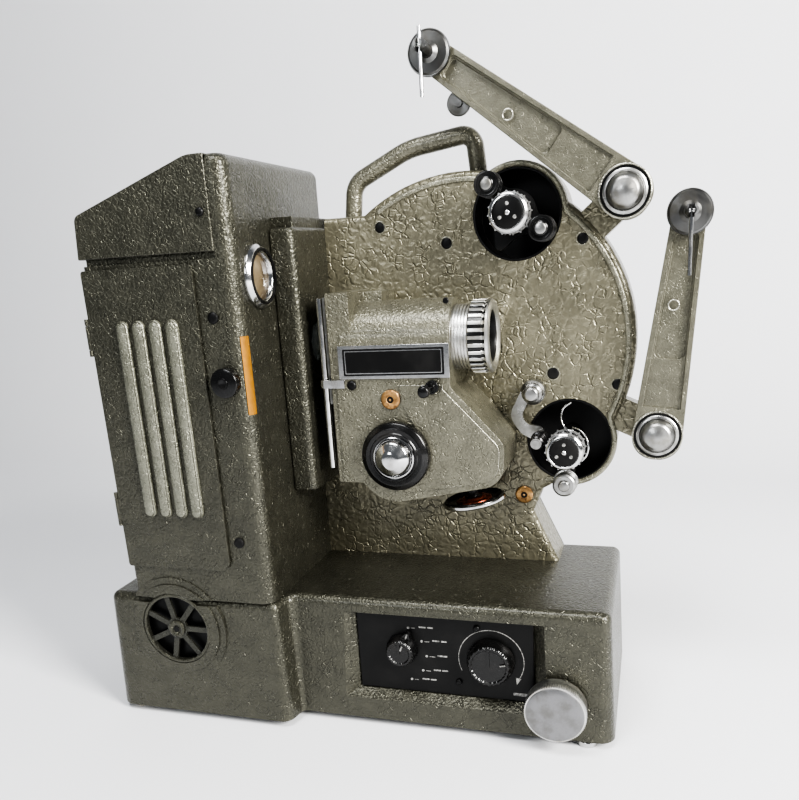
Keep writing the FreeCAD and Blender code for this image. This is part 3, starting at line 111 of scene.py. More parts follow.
class Finish:
    def __init__(self, name, **shader):
        self.material = bpy.data.materials.new(name)
        self.material.use_nodes = True
        self.tree = self.material.node_tree
        self.tree.nodes.clear()
        self.surface = self.tree.nodes.new("ShaderNodeBsdfPrincipled")
        output = self.tree.nodes.new("ShaderNodeOutputMaterial")
        self.tree.links.new(self.surface.outputs[0], output.inputs[0])
        self.set(shader)
        self.place = self.add("ShaderNodeTexCoord", {}, out="Object")

    def set(self, sockets):
        for key, value in sockets.items():
            self.feed(self.surface.inputs[key], value)

    def feed(self, socket, value):
        if isinstance(value, Wire):
            self.tree.links.new(value.socket, socket)
        elif socket.type == "RGBA" and not np.isscalar(value):
            socket.default_value = (*value[:3], 1)
        else:
            socket.default_value = value

    def add(self, kind, sockets, out=0, **settings):
        node = self.tree.nodes.new(kind)
        for name, value in settings.items():
            setattr(node, name, value)
        for key, value in sockets.items():
            self.feed(node.inputs[key], value)
        return Wire(self, node.outputs[out])

    def noise(self, size, detail=3, place=None, out=0):
        # size is the width of one blotch in millimetres
        return self.add("ShaderNodeTexNoise", {"Vector": place or self.place, "Scale": 1000 / size,
                                               "Detail": detail, "Roughness": 0.55}, out=out)

    def cells(self, size, place=None, feature="F1"):
        return self.add("ShaderNodeTexVoronoi", {"Vector": place or self.place, "Scale": 1000 / size},
                        out="Distance", feature=feature)

    def stretched(self, x, y, z, turn=(0, 0, 0)):
        return self.add("ShaderNodeMapping", {"Vector": self.place, "Scale": (x, y, z), "Rotation": turn})

    def nudged(self, size, reach):
        # the place moved about by a soft noise, so that a pattern's lines wander
        wander = self.noise(size, 2, out="Color")
        centred = self.add("ShaderNodeVectorMath", {0: wander, 1: (0.5, 0.5, 0.5)}, operation="SUBTRACT")
        scaled = self.add("ShaderNodeVectorMath", {0: centred, "Scale": reach / 1000}, operation="SCALE")
        return self.add("ShaderNodeVectorMath", {0: self.place, 1: scaled}, operation="ADD")

    def blend(self, amount, first, second):
        mix = self.tree.nodes.new("ShaderNodeMix")
        mix.data_type = "RGBA"
        for socket, value in ((mix.inputs[0], amount), (mix.inputs[6], first), (mix.inputs[7], second)):
            self.feed(socket, value)
        return Wire(self, mix.outputs[2])

    def bump(self, height, depth):
        # depth is how far, in millimetres, a height of 1 stands up
        return self.add("ShaderNodeBump", {"Height": height, "Distance": depth / 1000})


def hammerPaint(name, light, dark, cell, relief, vein=0.5, rough=0.36, metal=0.55, grain=0.75):
    # hammer-finish enamel: wandering cells with sunk, broken veins between soft swells
    paint = Finish(name, **{"Coat Weight": 0.25, "Coat Roughness": 0.22, "Metallic": metal})
    wandering = paint.nudged(cell * 1.4, cell * 1.1)
    edge = paint.cells(cell, wandering, "DISTANCE_TO_EDGE")
    fine = paint.cells(cell * 0.36, paint.nudged(cell * 0.6, cell * 0.4), "SMOOTH_F1")
    patch = paint.noise(cell * 3.2, 2)
    broken = paint.noise(cell * 1.7, 2).step(0.42, 0.6)
    veins = (1 - edge.step(0.0, 0.075)) * broken
    lips = (edge.step(0.04, 0.13) - edge.step(0.13, 0.3)) * broken
    swell = edge.step(0.0, 0.42)
    height = swell * 0.6 + lips * 0.45 - veins * 0.25 + (1 - fine) * grain
    tone = patch.step(0.3, 0.7) * 0.35 + paint.noise(cell * 0.5, 3) * 0.4 + (1 - fine) * 0.35
    colour = paint.blend(tone.clamp(), dark, light)
    colour = paint.blend((veins * vein).clamp(), colour, tuple(0.35 * c for c in dark))
    colour = paint.blend((lips * vein * 0.6).clamp(), colour, tuple(min(1, 1.4 * c) for c in light))
    grime = paint.noise(60, 4).step(0.5, 0.75) * 0.22
    colour = paint.blend(grime, colour, tuple(0.55 * c for c in dark))
    paint.set({"Base Color": colour, "Roughness": rough + tone * 0.12 - lips * 0.1,
               "Normal": paint.bump(height, relief)})
    return paint.material


def bakelite():
    skin = Finish("blackMoulding", **{"Coat Weight": 0.2, "Coat Roughness": 0.1,
                                      "Specular IOR Level": 0.35})
    worn = skin.noise(14, 4).step(0.45, 0.75)
    scratch = skin.noise(3, 3, skin.stretched(1, 1, 6)).step(0.6, 0.72)
    skin.set({"Base Color": skin.blend(worn, (0.005, 0.005, 0.005), (0.014, 0.013, 0.012)),
              "Roughness": 0.22 + worn * 0.16 + scratch * 0.1,
              "Normal": skin.bump(skin.noise(1.2, 2), 0.02)})
    return skin.material


def satinBlack():
    skin = Finish("satinBlackEnamel", **{"Specular IOR Level": 0.25})
    dust = skin.noise(22, 5).step(0.45, 0.8)
    skin.set({"Base Color": skin.blend(dust, (0.004, 0.004, 0.004), (0.012, 0.0115, 0.011)),
              "Roughness": 0.38 + dust * 0.2, "Normal": skin.bump(skin.noise(0.7, 3), 0.03)})
    return skin.material


def plating():
    skin = Finish("brightPlating", Metallic=1.0)
    haze = skin.noise(9, 4).step(0.4, 0.8)
    pits = skin.cells(1.6).step(0.0, 0.12)
    skin.set({"Base Color": skin.blend(haze, (0.62, 0.62, 0.62), (0.42, 0.41, 0.39)),
              "Roughness": 0.12 + haze * 0.16 + (1 - pits) * 0.2,
              "Normal": skin.bump(skin.noise(2.2, 2), 0.015)})
    return skin.material


def turnedMetal(name, axis, light=0.62):
    # fine rings round a turning axis: stretched noise along the two other ways
    skin = Finish(name, Metallic=1.0)
    scale = [0.05, 0.05, 0.05]
    scale["XYZ".index(axis)] = 1
    rings = skin.noise(0.35, 3, skin.stretched(*scale))
    stain = skin.noise(12, 4).step(0.4, 0.75)
    skin.set({"Base Color": skin.blend(stain, (light, light, light * 0.98),
                                       (light * 0.6, light * 0.57, light * 0.5)),
              "Roughness": 0.24 + rings * 0.16 + stain * 0.12, "Normal": skin.bump(rings, 0.03)})
    return skin.material


def brushedSteel():
    skin = Finish("brushedSteel", Metallic=1.0)
    grain = skin.noise(0.5, 4, skin.stretched(1, 1, 0.06))
    stain = skin.noise(10, 4).step(0.45, 0.8)
    skin.set({"Base Color": skin.blend(stain, (0.5, 0.5, 0.5), (0.26, 0.25, 0.23)),
              "Roughness": 0.3 + grain * 0.2, "Normal": skin.bump(grain, 0.02)})
    return skin.material


def brushedFace():
    # a domed face brushed one way, slightly stained
    skin = Finish("brushedFace", Metallic=1.0)
    grain = skin.noise(0.45, 4, skin.stretched(1, 1, 0.04, (0, 0.6, 0)))
    stain = skin.noise(9, 4).step(0.4, 0.75)
    scuff = skin.noise(1.6, 4).step(0.5, 0.7)
    skin.set({"Base Color": skin.blend(stain, (0.25, 0.25, 0.255), (0.18, 0.177, 0.17)),
              "Roughness": 0.3 + grain * 0.2 + scuff * 0.1,
              "Normal": skin.bump(grain * 0.6 + scuff * 0.4, 0.05)})
    return skin.material


def satinSteel():
    skin = Finish("satinSteel", Metallic=1.0)
    haze = skin.noise(7, 4).step(0.35, 0.75)
    skin.set({"Base Color": skin.blend(haze, (0.42, 0.42, 0.41), (0.24, 0.235, 0.22)),
              "Roughness": 0.26 + haze * 0.18, "Normal": skin.bump(skin.noise(1.1, 3), 0.04)})
    return skin.material


def paleRubber():
    skin = Finish("paleRubber", **{"Specular IOR Level": 0.3})
    tone = skin.noise(6, 4)
    skin.set({"Base Color": skin.blend(tone, (0.42, 0.38, 0.30), (0.62, 0.58, 0.48)),
              "Roughness": 0.7 + tone * 0.2, "Normal": skin.bump(skin.noise(0.8, 3), 0.1)})
    return skin.material


def darkRubber():
    skin = Finish("beltRubber", **{"Specular IOR Level": 0.3})
    tone = skin.noise(5, 4)
    skin.set({"Base Color": skin.blend(tone, (0.015, 0.014, 0.013), (0.04, 0.038, 0.034)),
              "Roughness": 0.65 + tone * 0.2, "Normal": skin.bump(skin.noise(0.5, 3), 0.05)})
    return skin.material


def clearGlass():
    skin = Finish("opticalGlass", **{"Transmission Weight": 0.85, "IOR": 1.5,
                                     "Base Color": (0.75, 0.8, 0.78)})
    smear = skin.noise(8, 4).step(0.4, 0.8)
    skin.set({"Roughness": 0.02 + smear * 0.05})
    return skin.material


def frostedGlass():
    # a thick, heat-tinted viewing lens, its tint lighter and darker in soft patches
    skin = Finish("tintedGlass", **{"Transmission Weight": 0.25, "IOR": 1.5, "Coat Weight": 0.7,
                                   "Coat Roughness": 0.05})
    tone = skin.noise(14, 3).step(0.3, 0.75)
    skin.set({"Base Color": skin.blend(tone, (0.085, 0.06, 0.03), (0.24, 0.19, 0.12)),
              "Roughness": 0.28 + tone * 0.12, "Normal": skin.bump(skin.noise(1.5, 2), 0.05)})
    return skin.material


def brassPlug():
    skin = Finish("agedBrass", Metallic=0.9)
    stain = skin.noise(3, 4).step(0.35, 0.7)
    skin.set({"Base Color": skin.blend(stain, (0.50, 0.30, 0.13), (0.2, 0.11, 0.05)),
              "Roughness": 0.35 + stain * 0.25, "Normal": skin.bump(skin.noise(1.0, 3), 0.05)})
    return skin.material


def copperHub():
    skin = Finish("copperHub", Metallic=1.0)
    stain = skin.noise(2.5, 4).step(0.35, 0.7)
    skin.set({"Base Color": skin.blend(stain, (0.62, 0.2, 0.12), (0.3, 0.08, 0.05)),
              "Roughness": 0.22 + stain * 0.2, "Normal": skin.bump(skin.noise(0.8, 2), 0.03)})
    return skin.material


def amberPlate():
    skin = Finish("amberLabel", Metallic=0.35)
    tone = skin.noise(4, 4)
    skin.set({"Base Color": skin.blend(tone, (0.22, 0.095, 0.008), (0.34, 0.16, 0.016)),
              "Roughness": 0.32 + tone * 0.15, "Normal": skin.bump(skin.noise(0.6, 2), 0.03)})
    return skin.material


def printWhite():
    skin = Finish("printedWhite", **{"Specular IOR Level": 0.4})
    worn = skin.noise(1.4, 4).step(0.35, 0.65)
    skin.set({"Base Color": skin.blend(worn, (0.10, 0.10, 0.095), (0.34, 0.335, 0.32)),
              "Roughness": 0.5 + worn * 0.1})
    return skin.material


finishes = {
    "plate": hammerPaint("plateHammer", (0.215, 0.201, 0.142), (0.115, 0.108, 0.077), 6.0, 0.62, 0.14,
                         0.29, 0.6, 0.35),
    # a lighter copy of the plate paint for the rim bead and the hole collars: painted highlight on raised
    # edges
    "plateEdge": hammerPaint("plateEdgeHighlightHammer", (0.30, 0.29, 0.225), (0.15, 0.145, 0.11), 2.4, 0.2, 0.2,
                             0.25, 0.7),
    "casting": hammerPaint("castingHammer", (0.205, 0.197, 0.148), (0.104, 0.1, 0.076), 3.2, 0.3, 0.12,
                           0.27, 0.62),
    "house": hammerPaint("houseHammer", (0.084, 0.082, 0.062), (0.045, 0.0445, 0.034), 3.4, 0.38, 0.22,
                         0.29, 0.7),
    # door rib paint: a lighter copy of the house paint, a painted highlight on the raised ribs
    "rib": hammerPaint("ribHighlightHammer", (0.27, 0.27, 0.215), (0.13, 0.13, 0.10), 2.4, 0.24, 0.2, 0.25, 0.7),
    "base": hammerPaint("baseHammer", (0.084, 0.082, 0.062), (0.045, 0.0445, 0.034), 3.4, 0.36, 0.22,
                        0.29, 0.7),
    "grille": hammerPaint("grilleHammer", (0.055, 0.055, 0.043), (0.024, 0.024, 0.02), 2.6, 0.2, 0.2,
                          0.28, 0.6),
    "arm": hammerPaint("armHammer", (0.18, 0.173, 0.13), (0.09, 0.087, 0.066), 2.0, 0.13, 0.1, 0.3, 0.6),
    # a lighter copy of the arm paint for bevels, hub edges and mark rims: painted highlight on rounded
    # edges
    "armEdge": hammerPaint("armEdgeHighlightHammer", (0.42, 0.41, 0.35), (0.22, 0.215, 0.18), 2.2, 0.12, 0.2, 0.22,
                           0.8),
    "brushed": brushedFace(), "agedAluminium": turnedMetal("agedAluminium", "Y", 0.36),
    "satinSteel": satinSteel(), "agedDisc": turnedMetal("agedDisc", "Y", 0.15),
    "bakelite": bakelite(), "black": satinBlack(), "chrome": plating(), "rubber": paleRubber(),
    "belt": darkRubber(), "steel": brushedSteel(), "glass": clearGlass(), "bullGlass": frostedGlass(),
    "turnedX": turnedMetal("turnedAluminiumX", "X"), "turnedY": turnedMetal("turnedAluminiumY", "Y"),
    "brass": brassPlug(), "copper": copperHub(), "amber": amberPlate(), "print": printWhite(),
}
print("finishes made")


def newPiece(name, vertices, faces, finish, body, smooth=35):
    mesh = bpy.data.meshes.new(name)
    mesh.from_pydata(np.asarray(vertices, float).reshape(-1, 3).tolist(), [],
                     [list(map(int, f)) for f in faces])
    piece = bpy.data.objects.new(name, mesh)
    bpy.context.collection.objects.link(piece)
    for item in finish if isinstance(finish, (list, tuple)) else [finish]:
        mesh.materials.append(finishes[item])
    mesh.shade_smooth()
    if smooth:
        mesh.set_sharp_from_angle(angle=math.radians(smooth))
    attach(piece, body)
    return piece


def gridFaces(rows, columns, wrapRows=False, wrapColumns=False):
    # quads between neighbours (i, j), (i+1, j), (i+1, j+1), (i, j+1) of a grid of rows x columns
    i = np.arange(rows if wrapRows else rows - 1)
    j = np.arange(columns if wrapColumns else columns - 1)
    i, j = [a.ravel() for a in np.meshgrid(i, j, indexing="ij")]
    ni, nj = (i + 1) % rows, (j + 1) % columns
    return np.stack([i * columns + j, ni * columns + j, ni * columns + nj, i * columns + nj], 1)


def turnedGrid(centre, axis, profile, segments, wave):
    # point(i, a) = centre + axis*along_i + radius_i(a) * (u cos a + v sin a)
    axis = np.array(axis, float) / np.linalg.norm(axis)
    u = np.cross(axis, (0.31, 0.2, 0.93))
    u /= np.linalg.norm(u)
    v = np.cross(axis, u)
    along, radius = np.array(profile, float).T / 1000
    angle = np.linspace(0, 2 * np.pi, segments, endpoint=False)
    radius = np.repeat(radius[:, None], segments, 1)
    if wave is not None:
        radius = radius * wave(angle)
    spin = np.cos(angle)[:, None] * u + np.sin(angle)[:, None] * v
    return np.array(centre)[None, None] + along[:, None, None] * axis + radius[..., None] * spin[None]


def squareUp(piece, smooth, slivers=False):
    # merge doubles, turn every face outwards and mark edges sharper than smooth degrees
    bm = bmesh.new()
    bm.from_mesh(piece.data)
    bmesh.ops.remove_doubles(bm, verts=bm.verts, dist=1e-6)
    if slivers:
        bmesh.ops.dissolve_degenerate(bm, edges=bm.edges, dist=1e-7)
    bmesh.ops.recalc_face_normals(bm, faces=bm.faces)
    bm.to_mesh(piece.data)
    bm.free()
    piece.data.set_sharp_from_angle(angle=math.radians(smooth))
    return piece


def turnedPiece(name, centre, axis, profile, finish, body, segments=96, wave=None):
    # profile rows (along, radius) are turned about the axis; rows with radius 0 close on it
    points = turnedGrid(centre, axis, profile, segments, wave)
    faces = gridFaces(len(profile), segments, wrapColumns=True)[:, ::-1]
    return squareUp(newPiece(name, points, faces, finish, body), 35, slivers=True)


def sweptPiece(name, path, section, finish, body, up):
    # the section (side, lift) carried along a path, its sides square to the path and to the way up
    path = np.array(path, float)
    section = np.array(section, float) / 1000
    ahead = np.gradient(path, axis=0)
    ahead /= np.linalg.norm(ahead, axis=1)[:, None]
    side = np.cross(ahead, np.array(up, float))
    side /= np.linalg.norm(side, axis=1)[:, None]
    lift = np.cross(side, ahead)
    points = path[:, None] + section[None, :, :1] * side[:, None] + section[None, :, 1:] * lift[:, None]
    count = len(section)
    faces = gridFaces(len(path), count, wrapColumns=True).tolist()
    faces += [list(range(count)), list(range((len(path) - 1) * count, len(path) * count))[::-1]]
    return squareUp(newPiece(name, points, faces, finish, body), 60)


def roundSection(radius, count):
    angle = np.linspace(0, 2 * np.pi, count, endpoint=False)
    return np.stack([radius * np.cos(angle), radius * np.sin(angle)], 1)


def curveThrough(points, count):
    # a Catmull-Rom curve through a few points
    points = np.array([list(p) for p in points], float)
    padded = np.vstack([2 * points[0] - points[1], points, 2 * points[-1] - points[-2]])
    t = np.linspace(0, len(points) - 1, count)
    k = np.minimum(t.astype(int), len(points) - 2)
    f = (t - k)[:, None]
    a, b, c, d = (padded[k + i] for i in range(4))
    bend, twist = 2 * a - 5 * b + 4 * c - d, 3 * b - a - 3 * c + d
    return 0.5 * (2 * b + (c - a) * f + bend * f ** 2 + twist * f ** 3)


def softCopy(name, finish, width):
    # a CAD node's own shape with its doubles merged, its flat faces joined and its edges rounded
    source = nodes[name]
    mesh = source.data.copy()
    piece = bpy.data.objects.new(name + "Finished", mesh)
    bpy.context.collection.objects.link(piece)
    bm = bmesh.new()
    bm.from_mesh(mesh)
    bmesh.ops.remove_doubles(bm, verts=bm.verts, dist=2e-6)
    bmesh.ops.dissolve_limit(bm, angle_limit=math.radians(0.4), verts=bm.verts, edges=bm.edges)
    bm.to_mesh(mesh)
    bm.free()
    mesh.materials.clear()
    for item in finish if isinstance(finish, (list, tuple)) else [finish]:
        mesh.materials.append(finishes[item])
    mesh.polygons.foreach_set("material_index", np.zeros(len(mesh.polygons), np.int32))
    mesh.shade_smooth()
    bevel = piece.modifiers.new("edges", "BEVEL")
    bevel.width = width / 1000
    bevel.segments = 2
    bevel.limit_method = "ANGLE"
    bevel.angle_limit = math.radians(28)
    bevel.use_clamp_overlap = True
    bevel.harden_normals = False
    bevel.miter_outer = "MITER_ARC"
    # a second finish, where given, goes on the bevel faces; the gate cover's is a lighter paint, a
    # painted highlight along its edges
    if len(mesh.materials) > 1:
        bevel.material = 1
    mesh.set_sharp_from_angle(angle=math.radians(40))
    weighted = piece.modifiers.new("shading", "WEIGHTED_NORMAL")
    weighted.keep_sharp = True
    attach(piece, bodyOf[name])
    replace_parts(piece, name)
    return piece


print("tools ready")

# CAD nodes redrawn with rounded edges: finish and bevel width in millimetres
carried = {
    "base_casting": ("base", 1.2), "lamp_house": ("house", 1.2), "lamp_house_cap": ("house", 1.4),
    "lamp_door": ("house", 0.5), "condenser_box": ("house", 2.0), "main_casting": ("plate", 0.8),
    "carry_handle": ("casting", 0.6), "gate_casting": ("casting", 1.0),
    # the gate cover's bevels take a lighter paint: painted highlight on its edges
    "gate_cover": (("casting", "armEdge"), 0.7),
    "upper_reel_arm": ("arm", 0.9), "lower_reel_arm": ("arm", 0.9), "keeper_lever": ("satinSteel", 0.6),
    "upper_roller_left": ("bakelite", 0.3), "upper_roller_right": ("bakelite", 0.3),
    "lower_roller": ("agedAluminium", 0.4), "keeper_roller": ("bakelite", 0.3),
    "pivot_studs": ("agedAluminium", 0.4),
    "framing_wheel": ("bakelite", 0.3), "gate_lever": ("bakelite", 0.3),
    "selector_knob": ("bakelite", 0.4),
    "speed_knob": ("bakelite", 0.4), "lamp_knob": ("bakelite", 0.5), "inching_knob": ("bakelite", 0.4),
    "inching_dome": ("chrome", 0.3), "bulls_eye_ring": ("chrome", 0.4), "name_plate": ("chrome", 0.2),
    "aperture_plate": ("satinSteel", 0.2), "pressure_plate": ("satinSteel", 0.2),
    "gate_rod": ("chrome", 0.2),
    "control_panel": ("black", 0.2), "mains_inlet": ("bakelite", 0.3), "fan_grille": ("grille", 0.5),
    "rear_cover": ("house", 0.5), "case_screws": ("black", 0.2), "upper_cup": ("black", 0.2),
    "lower_cup": ("black", 0.2), "tilt_yoke": ("chrome", 0.4), "lens_barrel": ("turnedX", 0.1),
}
for name, (finish, width) in carried.items():
    softCopy(name, finish, width)
# CAD nodes shown as they are
plain = {
    "base_plate": "black", "rubber_feet": "rubber", "lamp_holder": "steel", "lamp_bulb": "glass",
    "lamp_reflector": "chrome", "bulls_eye_glass": "bullGlass", "condenser_lenses": "glass",
    "shutter": "black",
    "lens_glass": "glass", "main_shaft": "steel", "motor": "black", "motor_shaft": "steel",
    "fan_wheel": "steel", "drive_belt": "belt", "upper_reel_wire": "chrome", "lower_reel_wire": "chrome",
    "upper_sprocket": "chrome", "lower_sprocket": "chrome", "upper_spindle": "agedDisc",
    "lower_spindle": "agedDisc", "tilt_knob": "turnedY",
}
for name, finish in plain.items():
    nodes[name].data.materials.clear()
    nodes[name].data.materials.append(finishes[finish])
print("CAD nodes finished")

front = (0, -1, 0)
# where the turning pieces' axes meet the front, (x, z) in millimetres
axisAt = {"selector_knob": (218.2, 52.6), "speed_knob": (279.4, 49.0), "tilt_knob": (323.5, 26.0),
          "inching_knob": (213.2, 181.5), "upper_sprocket": (288.3, 331.0),
          "lower_sprocket": (322.4, 180.0)}


def faceY(name):
    # how far back a node's foremost face lies, in millimetres from the base casting's corner
    return (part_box(name)[0].y - baseCorner.y) * 1000


def flatPiece(name, outline, back, thick, finish, body):
    # an outline (x, z) in millimetres made thick towards the front, its front edge bevelled
    outline = np.array(outline, float)
    count = len(outline)
    centre = outline.mean(0)
    reach = np.linalg.norm(outline - centre, axis=1)[:, None]
    inner = outline - (outline - centre) / reach * min(0.3, thick / 3)
    rows = [(outline, back), (outline, back - thick * 0.7), (inner, back - thick)]
    points = [spot(x, depth, z) for ring, depth in rows for x, z in ring]
    faces = gridFaces(3, count, wrapColumns=True).tolist()
    faces += [list(range(count)), list(range(2 * count, 3 * count))[::-1]]
    return squareUp(newPiece(name, [list(p) for p in points], faces, finish, body), 30)


def rectangle(left, bottom, right, top, corner=0.4):
    turn = np.linspace(0, np.pi / 2, 4)
    points = []
    for k, (x, z) in enumerate([(right - corner, top - corner), (left + corner, top - corner),
                                (left + corner, bottom + corner), (right - corner, bottom + corner)]):
        points += [(x + corner * math.cos(a + k * np.pi / 2), z + corner * math.sin(a + k * np.pi / 2))
                   for a in turn]
    return points


def circle(x, z, radius, count=40):
    return [(x + radius * math.cos(a), z + radius * math.sin(a))
            for a in np.linspace(0, 2 * np.pi, count, endpoint=False)]


def button(name, x, z, back, radius, rise, finish, body, dome=0.0):
    # a round head standing on a face, its edge eased and its top domed
    profile = [(0, 0), (0, radius), (rise - 0.3, radius), (rise, radius - 0.35)]
    profile += [(rise + dome * (1 - (1 - t) ** 2), (radius - 0.35) * (1 - t)) for t in (0.35, 0.7, 1.0)]
    return turnedPiece(name, spot(x, back, z), front, profile, finish, body, 48)


def screw(name, x, z, back, radius, finish, body, turn=0.6):
    # a round head with a dark slot let into it
    button(name, x, z, back, radius, 0.9, finish, body)
    along = np.array([math.cos(turn), math.sin(turn)])
    across = np.array([-along[1], along[0]])
    corners = [along * a * radius * 0.86 + across * b * radius * 0.14
               for a, b in ((1, 1), (-1, 1), (-1, -1), (1, -1))]
    flatPiece(name + "Slot", [(x + c[0], z + c[1]) for c in corners], back - 0.8, 0.16, "black", body)


# the lamp door's ribs, in millimetres; face is how far back the door's front lies
door = {"first": 53.4, "pitch": 12.0, "width": 9.2, "bottom": 150.2, "top": 280.8, "rise": 3.2,
        "face": -0.5}


def crownedRib(k):
    # rings of a stadium outline shrinking to its middle line, lifted along a quarter circle
    x = door["first"] + k * door["pitch"]
    half = (door["top"] - door["bottom"] - door["width"]) / 2
    centre = (door["top"] + door["bottom"]) / 2
    angle = np.linspace(0, 2 * np.pi, 48, endpoint=False)
    rows = []
    for t in np.linspace(0, np.pi / 2, 8):
        r = door["width"] / 2 * math.cos(t)
        lift = door["rise"] * math.sin(t) ** 0.75
        rows.append([list(spot(x + r * math.cos(a), door["face"] - lift,
                               centre + (half if math.sin(a) >= 0 else -half) + r * math.sin(a)))
                     for a in angle])
    faces = gridFaces(len(rows), 48, wrapColumns=True).tolist() + [list(range(48))]
    # the ribs take the lighter rib paint: painted highlight
    squareUp(newPiece("doorRib%d" % k, np.array(rows), faces, "rib", bodyOf["lamp_door"]), 60)


for k in range(4):
    crownedRib(k)
houseBody = bodyOf["lamp_house"]
strip = {"centre": (126.5, 11.0), "radius": 9.35, "from": 44, "to": 82, "bottom": 219, "top": 268}


def labelStrip():
    # a thin blank plate bent round the lamp house's upright corner
    angle = np.radians(np.linspace(strip["from"], strip["to"], 12))
    x0, y0 = strip["centre"]
    ring = [(x0 + r * math.sin(a), y0 - r * math.cos(a))
            for r, turn in ((strip["radius"] + 0.35, angle), (strip["radius"] - 0.6, angle[::-1]))
            for a in turn]
    levels = np.linspace(strip["bottom"], strip["top"], 8)
    points = [[list(spot(x, y, z)) for x, y in ring] for z in levels]
    faces = gridFaces(8, len(ring), wrapColumns=True).tolist()
    faces += [list(range(len(ring))), list(range(7 * len(ring), 8 * len(ring)))]
    squareUp(newPiece("labelStrip", np.array(points), faces, "amber", houseBody), 40)


labelStrip()
for n, (x, z) in enumerate(((117.7, 280), (116, 133))):
    button("houseScrew%d" % n, x, z, 2.0, 3.1, 0.9, "black", houseBody, dome=0.3)
    # a chrome dot on each dark head, put there for the glint: painted glint
    button("houseScrewEye%d" % n, x, z, 0.9, 1.1, 0.25, "chrome", houseBody)
button("capScrew", 118.2, 341.6, 1.0, 2.4, 0.7, "black", bodyOf["lamp_house_cap"], dome=0.3)
turnedPiece("lampKnobFace", spot(122.5, faceY("lamp_knob"), 240.5), front,
            [(-0.4, 0), (-0.4, 3.6), (0.25, 3.4), (0.35, 2.2), (0.0, 1.2), (0.0, 0)], "bakelite",
            bodyOf["lamp_knob"])
turnedPiece("bullsEyeStep", Vector((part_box("bulls_eye_ring")[1].x - 0.0006, middle("bulls_eye_ring").y,
                                    middle("bulls_eye_ring").z)), (1, 0, 0),
            [(0, 15.4), (0.9, 15.6), (1.1, 16.4), (0.8, 17.2), (0, 17.4)], "black",
            bodyOf["bulls_eye_ring"], 96)

baseBody = bodyOf["base_casting"]
grille = {"x": 57.9, "z": 65.8}
# a black disc behind the grille: painted shade inside the fan opening
turnedPiece("fanWellShade", spot(grille["x"], 7.4, grille["z"]), front,
            [(0, 0), (0, 26.4), (0.6, 26.4), (0.7, 8), (0.5, 0)], "black", baseBody)
turnedPiece("fanHubCap", spot(grille["x"], faceY("fan_grille") + 0.3, grille["z"]), front,
            [(0, 0), (0, 6.4), (1.0, 6.2), (1.5, 5.0), (1.1, 3.4), (0.6, 2.8), (0.5, 0)], "base",
            bodyOf["fan_grille"])
button("fanHubPin", grille["x"], grille["z"], faceY("fan_grille") - 0.2, 2.3, 0.6, "black",
       bodyOf["fan_grille"])
turnedPiece("fanRimBead", spot(grille["x"], faceY("fan_grille") + 0.5, grille["z"]), front,
            [(0, 24.2), (0.9, 24.4), (1.3, 25.2), (1.2, 26.2), (0.6, 26.9), (0, 26.9)], "base",
            bodyOf["fan_grille"])

panelFace = faceY("control_panel")
panelBody = bodyOf["control_panel"]
dots = [(223, 68.5), (232, 59), (235, 48), (232, 37), (223.5, 29.5)]
for n, (x, z) in enumerate(dots):
    flatPiece("panelDot%d" % n, circle(x, z, 0.9, 16), panelFace, 0.12, "print", panelBody)
    flatPiece("panelLeader%d" % n, rectangle(x + 2, z - 0.22, x + 6 - 0.6 * abs(n - 2), z + 0.22, 0.1),
              panelFace, 0.1, "print", panelBody)
    for k, (start, end) in enumerate(((7.5, 12.5), (13.5, 17.5)) if n != 2 else ((7.5, 14.5),)):
        flatPiece("panelBar%d%d" % (n, k), rectangle(x + start, z + 0.5, x + end, z + 1.6, 0.3),
                  panelFace, 0.1, "print", panelBody)
speed = {"arc": 22.0, "from": -35, "to": 205}  # the printed scale's radius and its ends in degrees
speedX, speedZ = axisAt["speed_knob"]


def speedArc():
    angle = np.radians(np.linspace(speed["from"], speed["to"], 90))
    ring = [(speedX + r * math.cos(a), speedZ + r * math.sin(a))
            for r, turn in ((speed["arc"] + 0.25, angle), (speed["arc"] - 0.25, angle[::-1]))
            for a in turn]
    points = [[list(spot(x, y, z)) for x, z in ring] for y in (panelFace, panelFace - 0.1)]
    faces = gridFaces(2, len(ring), wrapColumns=True).tolist()
    n = len(angle)
    for side in (0, 2 * n):
        faces += [[side + i, side + i + 1, side + 2 * n - 2 - i, side + 2 * n - 1 - i]
                  for i in range(n - 1)]
    squareUp(newPiece("speedArc", np.array(points), faces, "print", panelBody), 30)


speedArc()
tip = math.radians(speed["from"])
tipX, tipZ = speedX + speed["arc"] * math.cos(tip), speedZ + speed["arc"] * math.sin(tip)
flatPiece("speedArrow", [(tipX + 1.9, tipZ + 0.9), (tipX - 1.7, tipZ + 1.6), (tipX - 1.0, tipZ - 3.6)],
          panelFace, 0.12, "print", panelBody)
flatPiece("speedBar", rectangle(294, 24.5, 304, 26.6, 0.3), panelFace, 0.1, "print", panelBody)
for n, (x, z) in enumerate(((270.4, 72), (257.2, 31))):
    screw("panelScrew%d" % n, x, z, panelFace - 0.1, 1.7, "steel", panelBody, 0.4 + n)


def knobFlutes(angle):
    # 24 shallow flutes with steep sides
    wave = np.sin(24 * angle)
    return 1 + 0.016 * np.sign(wave) * np.abs(wave) ** 0.5


def leaning(name, degrees, shape):
    # places (along, side) from a piece's axis, turned about it by an angle from the right
    x, z = axisAt[name]
    c, s = math.cos(math.radians(degrees)), math.sin(math.radians(degrees))
    return [(x + along * c - side * s, z + along * s + side * c) for along, side in shape]


